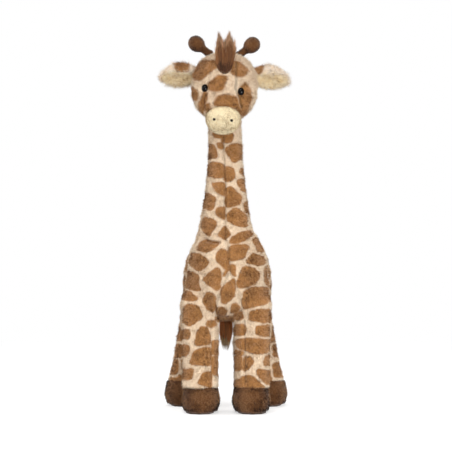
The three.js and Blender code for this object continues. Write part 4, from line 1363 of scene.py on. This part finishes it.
# %% Hooves
HOOF_HALF_WIDTH, HOOF_HALF_DEPTH = 27.3, 29.5
HOOF_INWARD = {"front": 1.2, "rear": -0.6}
HOOF_ROWS = [
    # height, share of the half width and half depth
    (0.9, 0.68), (3, 0.81), (7, 0.92), (12, 0.985), (18, 1.0), (24, 0.985), (30, 0.95), (35, 0.9),
    (40.5, 0.78),
]
HOOF_FORWARD, HOOF_HEIGHT = 5, 40
HOOF_PILE_FROM, HOOF_PILE_TO = 4.5 * MM, 38 * MM
sole_material = plush_ground("sole_suede", "#4a3626")
for end, side, sign in LEGS:
    name = f"{end}_{side}"
    x, y, _ = FOOT[end]
    x = sign * (x - HOOF_INWARD[end])
    hoof = ring_form(f"hoof_form_{name}", [
        (x, y - HOOF_FORWARD * (1 - z / HOOF_HEIGHT) ** 2, z, HOOF_HALF_WIDTH * k, HOOF_HALF_DEPTH * k)
        for z, k in HOOF_ROWS])
    hoof = finer(fused(f"hoof_skin_{name}", [hoof], voxel=2.2, smoothing=2))
    hoof.data.materials.append(hoof_ground)
    hoof_hair = short_pile(
        f"hoof_pile_{name}", hoof, PILE_DENSITY * 1.2, 70 + len(name), dark_tints, hoof_pile, length=3.4,
        keep=lambda p, n: (p[:, 2] < HOOF_PILE_TO) & (n[:, 2] > -0.7) & (p[:, 2] > HOOF_PILE_FROM))
    for piece in (hoof, hoof_hair):
        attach(piece, f"leg_{name}")
    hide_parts(f"hoof_cover_{name}", f"hoof_pouch_{name}")
    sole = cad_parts[f"hoof_sole_{name}"]
    sole.data.materials.clear()
    sole.data.materials.append(sole_material)
    print(hoof.name, "fibres:", len(hoof_hair.data.vertices) // 4)

# %% [markdown]
# Long pile is drawn hair by hair, as curved fibres of several steps, darker at the root and lighter at
# the tips. A hair leaves the skin in one direction and bends on its way to where its tip lies.

# %% Long hair
LONG_SHADES = (1.15, 1.0, 0.8)
LONG_TONES = (0, 0, 3, 3, 6)


def long_tints(name, root, middle, tip):
    """Three shades each for the root, the middle and the tip of a hair."""
    tints = []
    for part, hex_colour in (("root", root), ("middle", middle), ("tip", tip)):
        tints += pile_tints(f"{name}_{part}", [toned(hex_colour, k) for k in LONG_SHADES], sheen=0.05)
    return tints


forelock_hair = long_tints("forelock_hair", "#623e26", "#94633e", "#cfa37c")
# the tail's hair is much lighter than the forelock's: painted light where the tassel hangs in the shade
# between the legs
lit_tail_hair = long_tints("lit_tail_hair", "#b0764a", "#d89a68", "#f2c89c")


def hair(name, roots, ways, tips, reach, widths, seed, materials, steps=5, shades=None):
    """Fibres that leave along `ways` and end at `tips`; `reach` is the straight share of the way."""
    draw = np.random.default_rng(seed)
    lengths = np.linalg.norm(tips - roots, axis=1) * reach
    bends = tips - roots - ways * lengths[:, None]
    if shades is None:
        shades = draw.integers(0, len(LONG_SHADES), len(roots))
    widths = widths * MM * draw.uniform(0.6, 1.2, len(roots))
    return fibres(name, roots, ways, lengths, widths, shades, materials, bends, steps, LONG_TONES)


def on_axis(axis, values):
    """Vectors with these values on one axis and nothing on the others."""
    return np.array(values)[:, None] * np.eye(3)[axis]


# %% [markdown]
# The forelock grows from an oval on the forehead and gathers in locks. Where each lock ends was read
# off the photograph; the shorter hairs inside a lock spread more, which keeps the outline soft.

# %% Forelock
FORELOCK_ROOT = (224.6, 67.2)
FORELOCK_HALF_WIDTH, FORELOCK_HALF_HEIGHT = 9.6 * MM, 11.6 * MM
FORELOCK_LEAN = 4 * MM
LOCK_SPREAD = np.array((2.0, 1.8, 2.6)) * MM
FORELOCK_PER_MM2 = 7
FORELOCK_LOCKS = [
    # pixel where a lock ends, and the share of the hair that it takes
    ((216.2, 46), 0.07), ((217.2, 38), 0.1), ((218.8, 30.5), 0.13), ((221.2, 35), 0.1), ((223.4, 39), 0.09),
    ((225.6, 37.4), 0.09), ((228, 33), 0.1), ((229.4, 29.8), 0.12), ((232, 35), 0.08), ((234.8, 38.4), 0.07),
    ((236, 45), 0.05),
]
root_place, _ = seen_on(head_tree, *FORELOCK_ROOT)
draw = np.random.default_rng(80)
roots, up = skin_points(head, FORELOCK_PER_MM2, 80, keep=lambda p, n: (
    ((p[:, 0] - root_place.x) / FORELOCK_HALF_WIDTH) ** 2
    + ((p[:, 2] - root_place.z) / FORELOCK_HALF_HEIGHT) ** 2 < 1) & (n[:, 1] < 0))
roots = roots - up * MM
side_share = (roots[:, 0] - root_place.x) / FORELOCK_HALF_WIDTH
height_share = (roots[:, 2] - root_place.z) / FORELOCK_HALF_HEIGHT
shares = np.cumsum([share for _, share in FORELOCK_LOCKS])
order = np.argsort(np.argsort(side_share + draw.normal(0, 0.16, len(roots)))) / len(roots)
lock = np.minimum(np.searchsorted(shares / shares[-1], order), len(shares) - 1)
lock_ends = []
for pixel, _ in FORELOCK_LOCKS:
    eye_place, way = sight_line(*pixel)
    lock_ends.append(tuple(eye_place + way * ((root_place.y + FORELOCK_LEAN - eye_place.y) / way.y)))
short = draw.random(len(roots)) ** 1.5
spread = draw.normal(0, 1, (len(roots), 3)) * LOCK_SPREAD * (0.5 + 1.6 * short)[:, None]
tips = np.array(lock_ends)[lock] + spread
tips[:, 1] += (3 + 5 * height_share) * MM
tips = roots + (tips - roots) * (1 - 0.42 * short)[:, None]
ways = unit(up * 0.6 + np.array((0, -0.1, 1.0)) + on_axis(0, side_share * 0.5)
            + 0.1 * draw.normal(size=roots.shape))
shades = np.where(draw.random(len(roots)) < 0.6, lock % 3, draw.integers(0, 3, len(roots)))
forelock = hair("forelock_hair", roots, ways, tips, 0.62, 0.6, 81, forelock_hair, shades=shades)
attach(forelock, "head")
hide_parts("forelock")
print("forelock hairs:", len(roots))

# %% [markdown]
# The mane is sewn into the seam at the back of the neck, in the forelock's hair but shorter. It stands
# out from the skin and droops a little.

# %% Mane
MANE_HALF = 3.6 * MM
MANE_LOW, MANE_HIGH = 272 * MM, 436 * MM
MANE_PER_MM2 = 8.4
MANE_LENGTH = 15 * MM
MANE_DROOP = 0.32
roots, up = skin_points(
    body, MANE_PER_MM2, 82, keep=lambda p, n: (np.abs(p[:, 0]) < MANE_HALF) & (n[:, 1] > 0.5)
    & (p[:, 2] > MANE_LOW) & (p[:, 2] < MANE_HIGH))
draw = np.random.default_rng(83)
lengths = MANE_LENGTH * draw.uniform(0.6, 1.1, len(roots))
ways = unit(up + 0.25 * draw.normal(size=roots.shape) + 0.35 * tangled(roots, 7, 5))
tips = roots + ways * lengths[:, None] + on_axis(2, -MANE_DROOP * lengths)
mane = hair("mane_hair", roots - up * MM, ways, tips, 0.9, 0.7, 84, forelock_hair, steps=3)
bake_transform(mane)
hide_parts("mane")
print("mane hairs:", len(roots))

# %% [markdown]
# The tail is a thin stuffed cord of the caramel plush that hangs from the rump, and its tassel is long
# hair again, tied in at the cord's end and worn to a point.

# %% Tail and tassel
TAIL_Y = 96.96
TAIL_ROWS = [(194, 3.4), (190, 4.3), (175, 4.2), (160, 4.0), (148, 4.0), (142, 3.6)]
tail = ring_form("tail_form", [(0, TAIL_Y, z, r, r) for z, r in TAIL_ROWS], sides=20)
tail = fused("tail_skin", [tail], voxel=1.2, smoothing=3)
tail.data.materials.append(caramel_ground)
tail_pile = short_pile("tail_pile", tail, 1.4, 85, nap_tints, caramel_pile, length=3.0)
TASSEL_COUNT = 1500
TASSEL_TOP, TASSEL_TIP = 146, 83
TASSEL_TIED = 6
TASSEL_SHORTER = 38
LOCK_ANGLE = 0.9
draw = np.random.default_rng(86)
angle = draw.uniform(0, math.tau, TASSEL_COUNT)
out = np.sqrt(draw.uniform(0, 1, TASSEL_COUNT))
around = on_axis(0, np.cos(angle)) + on_axis(1, np.sin(angle))
roots = (np.array((0, TAIL_Y, TASSEL_TOP)) + around * 2.7
         + on_axis(2, -TASSEL_TIED * draw.random(TASSEL_COUNT))) * MM
ways = unit(around * (out * 0.8)[:, None] + np.array((0, 0, -1.0)))
low = draw.random(TASSEL_COUNT) ** 0.6
locks = np.round(angle / LOCK_ANGLE) * LOCK_ANGLE
lock_x = 2.6 * np.cos(locks) + 1.3 * draw.normal(size=TASSEL_COUNT)
lock_y = draw.normal(size=TASSEL_COUNT)
lock_z = TASSEL_TIP + TASSEL_SHORTER * (1 - low) + 4 * np.sin(locks * 2)
tips = (np.array((0, TAIL_Y, 0)) + around * (out * 3.4 * (1.2 - low))[:, None]
        + np.stack([lock_x, lock_y, lock_z], axis=1)) * MM
shades = np.where(draw.random(TASSEL_COUNT) < 0.5, (locks * 10).astype(int) % 3,
                  draw.integers(0, 3, TASSEL_COUNT))
tassel = hair("tassel_hair", roots, ways, tips, 0.85, 0.62, 87, lit_tail_hair, shades=shades)
for piece, slot in ((tail, "plush_patched"), (tail_pile, "plush_patched"), (tassel, "long_pile_dark")):
    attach(piece, "tail")
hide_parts("tail_cord")
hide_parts("tail_tassel")
print("tassel hairs:", TASSEL_COUNT)

# %% [markdown]
# The floor is plain and white. It glows a little for the camera only, and more with distance, so it
# runs into the backdrop without a line and still holds the toy's soft shadow.

# %% Floor
alone()
bpy.ops.mesh.primitive_plane_add(size=30, location=(0, 0, 0))
floor = place_applied(named("studio_floor"))
floor_material, floor_shader = new_material("matt_white_floor", Roughness=0.9, Specular_IOR_Level=0.0)
floor.data.materials.append(floor_material)
FLOOR_NEAR, FLOOR_FAR = 0.25, 1.5
FLOOR_WHITE, FLOOR_GLOW = 0.66, 0.52
floor_place = add_node(floor_material, "ShaderNodeTexCoord").outputs["Object"]
floor_distance = add_node(floor_material, "ShaderNodeVectorMath", settings={"operation": "LENGTH"},
                          links=[(0, floor_place)]).outputs["Value"]
floor_white, floor_glow = (
    add_node(floor_material, "ShaderNodeMapRange", links=[("Value", floor_distance)],
             From_Min=FLOOR_NEAR, From_Max=FLOOR_FAR, To_Min=near, To_Max=far)
    for near, far in ((FLOOR_WHITE, 0.0), (FLOOR_GLOW, 1.0)))
floor_ray = add_node(floor_material, "ShaderNodeLightPath").outputs["Is Camera Ray"]
camera_glow = add_node(floor_material, "ShaderNodeMath", settings={"operation": "MULTIPLY"},
                       links=[(0, floor_glow.outputs["Result"]), (1, floor_ray)])
floor_shader.inputs["Emission Color"].default_value = (1, 1, 1, 1)
floor_material.node_tree.links.new(floor_white.outputs["Result"], floor_shader.inputs["Base Color"])
floor_material.node_tree.links.new(camera_glow.outputs["Value"], floor_shader.inputs["Emission Strength"])
print("floor glow:", FLOOR_GLOW, "near, 1 from", FLOOR_FAR, "m")

# %% [markdown]
# The world answers each kind of ray in its own way: the camera sees plain white, polished surfaces see
# a faint grey, so that the eyes stay dark, and everything else is lit by a dome of middle strength.

# %% Dome and backdrop
DOME_STRENGTH = 0.62
GLOSS_STRENGTH = 0.1
world = bpy.data.worlds.new("studio_world")
bpy.context.scene.world = world
world.use_nodes = True
nodes, links = world.node_tree.nodes, world.node_tree.links
rays = nodes.new("ShaderNodeLightPath")
dome = nodes["Background"]
backdrop = nodes.new("ShaderNodeBackground")
gloss = nodes.new("ShaderNodeBackground")
for background, strength in ((dome, DOME_STRENGTH), (backdrop, 1.0), (gloss, GLOSS_STRENGTH)):
    background.inputs["Color"].default_value = (1, 1, 1, 1)
    background.inputs["Strength"].default_value = strength
seen = dome.outputs["Background"]
for ray, background in (("Is Glossy Ray", gloss), ("Is Camera Ray", backdrop)):
    mix = nodes.new("ShaderNodeMixShader")
    links.new(rays.outputs[ray], mix.inputs["Fac"])
    links.new(seen, mix.inputs[1])
    links.new(background.outputs["Background"], mix.inputs[2])
    seen = mix.outputs["Shader"]
links.new(seen, nodes["World Output"].inputs["Surface"])
print("dome:", DOME_STRENGTH, "for light,", GLOSS_STRENGTH, "for gloss")

# %% [markdown]
# One lamp high in front, one low for the legs, one behind for the outline of the pile, and one at the
# toy's right, because the photograph's left edge is as bright as its right one.

# %% Lamps
def soft_lamp(name, place, aim, size, power):
    """A square lamp of a size in metres and a power in watts, turned to its aim."""
    data = bpy.data.lights.new(name, "AREA")
    data.size = size
    data.energy = power
    lamp = bpy.data.objects.new(name, data)
    lamp.location = place
    lamp.rotation_euler = (Vector(aim) - Vector(place)).to_track_quat("-Z", "Y").to_euler()
    bpy.context.scene.collection.objects.link(lamp)


soft_lamp("key_lamp", (-0.35, -1.65, 1.9), (0, 0, 0.25), 0.9, 14)
soft_lamp("fill_lamp", (0.6, -1.5, 0.12), (0, 0, 0.1), 0.8, 23)
soft_lamp("back_lamp", (0.6, 1.9, 1.5), (0, 0, 0.3), 1.0, 14)
soft_lamp("side_lamp", (-1.7, -0.2, 0.7), (0, 0, 0.3), 0.9, 12)
bpy.context.scene.view_settings.view_transform = "Standard"
print("lamps:", len(bpy.data.lights))
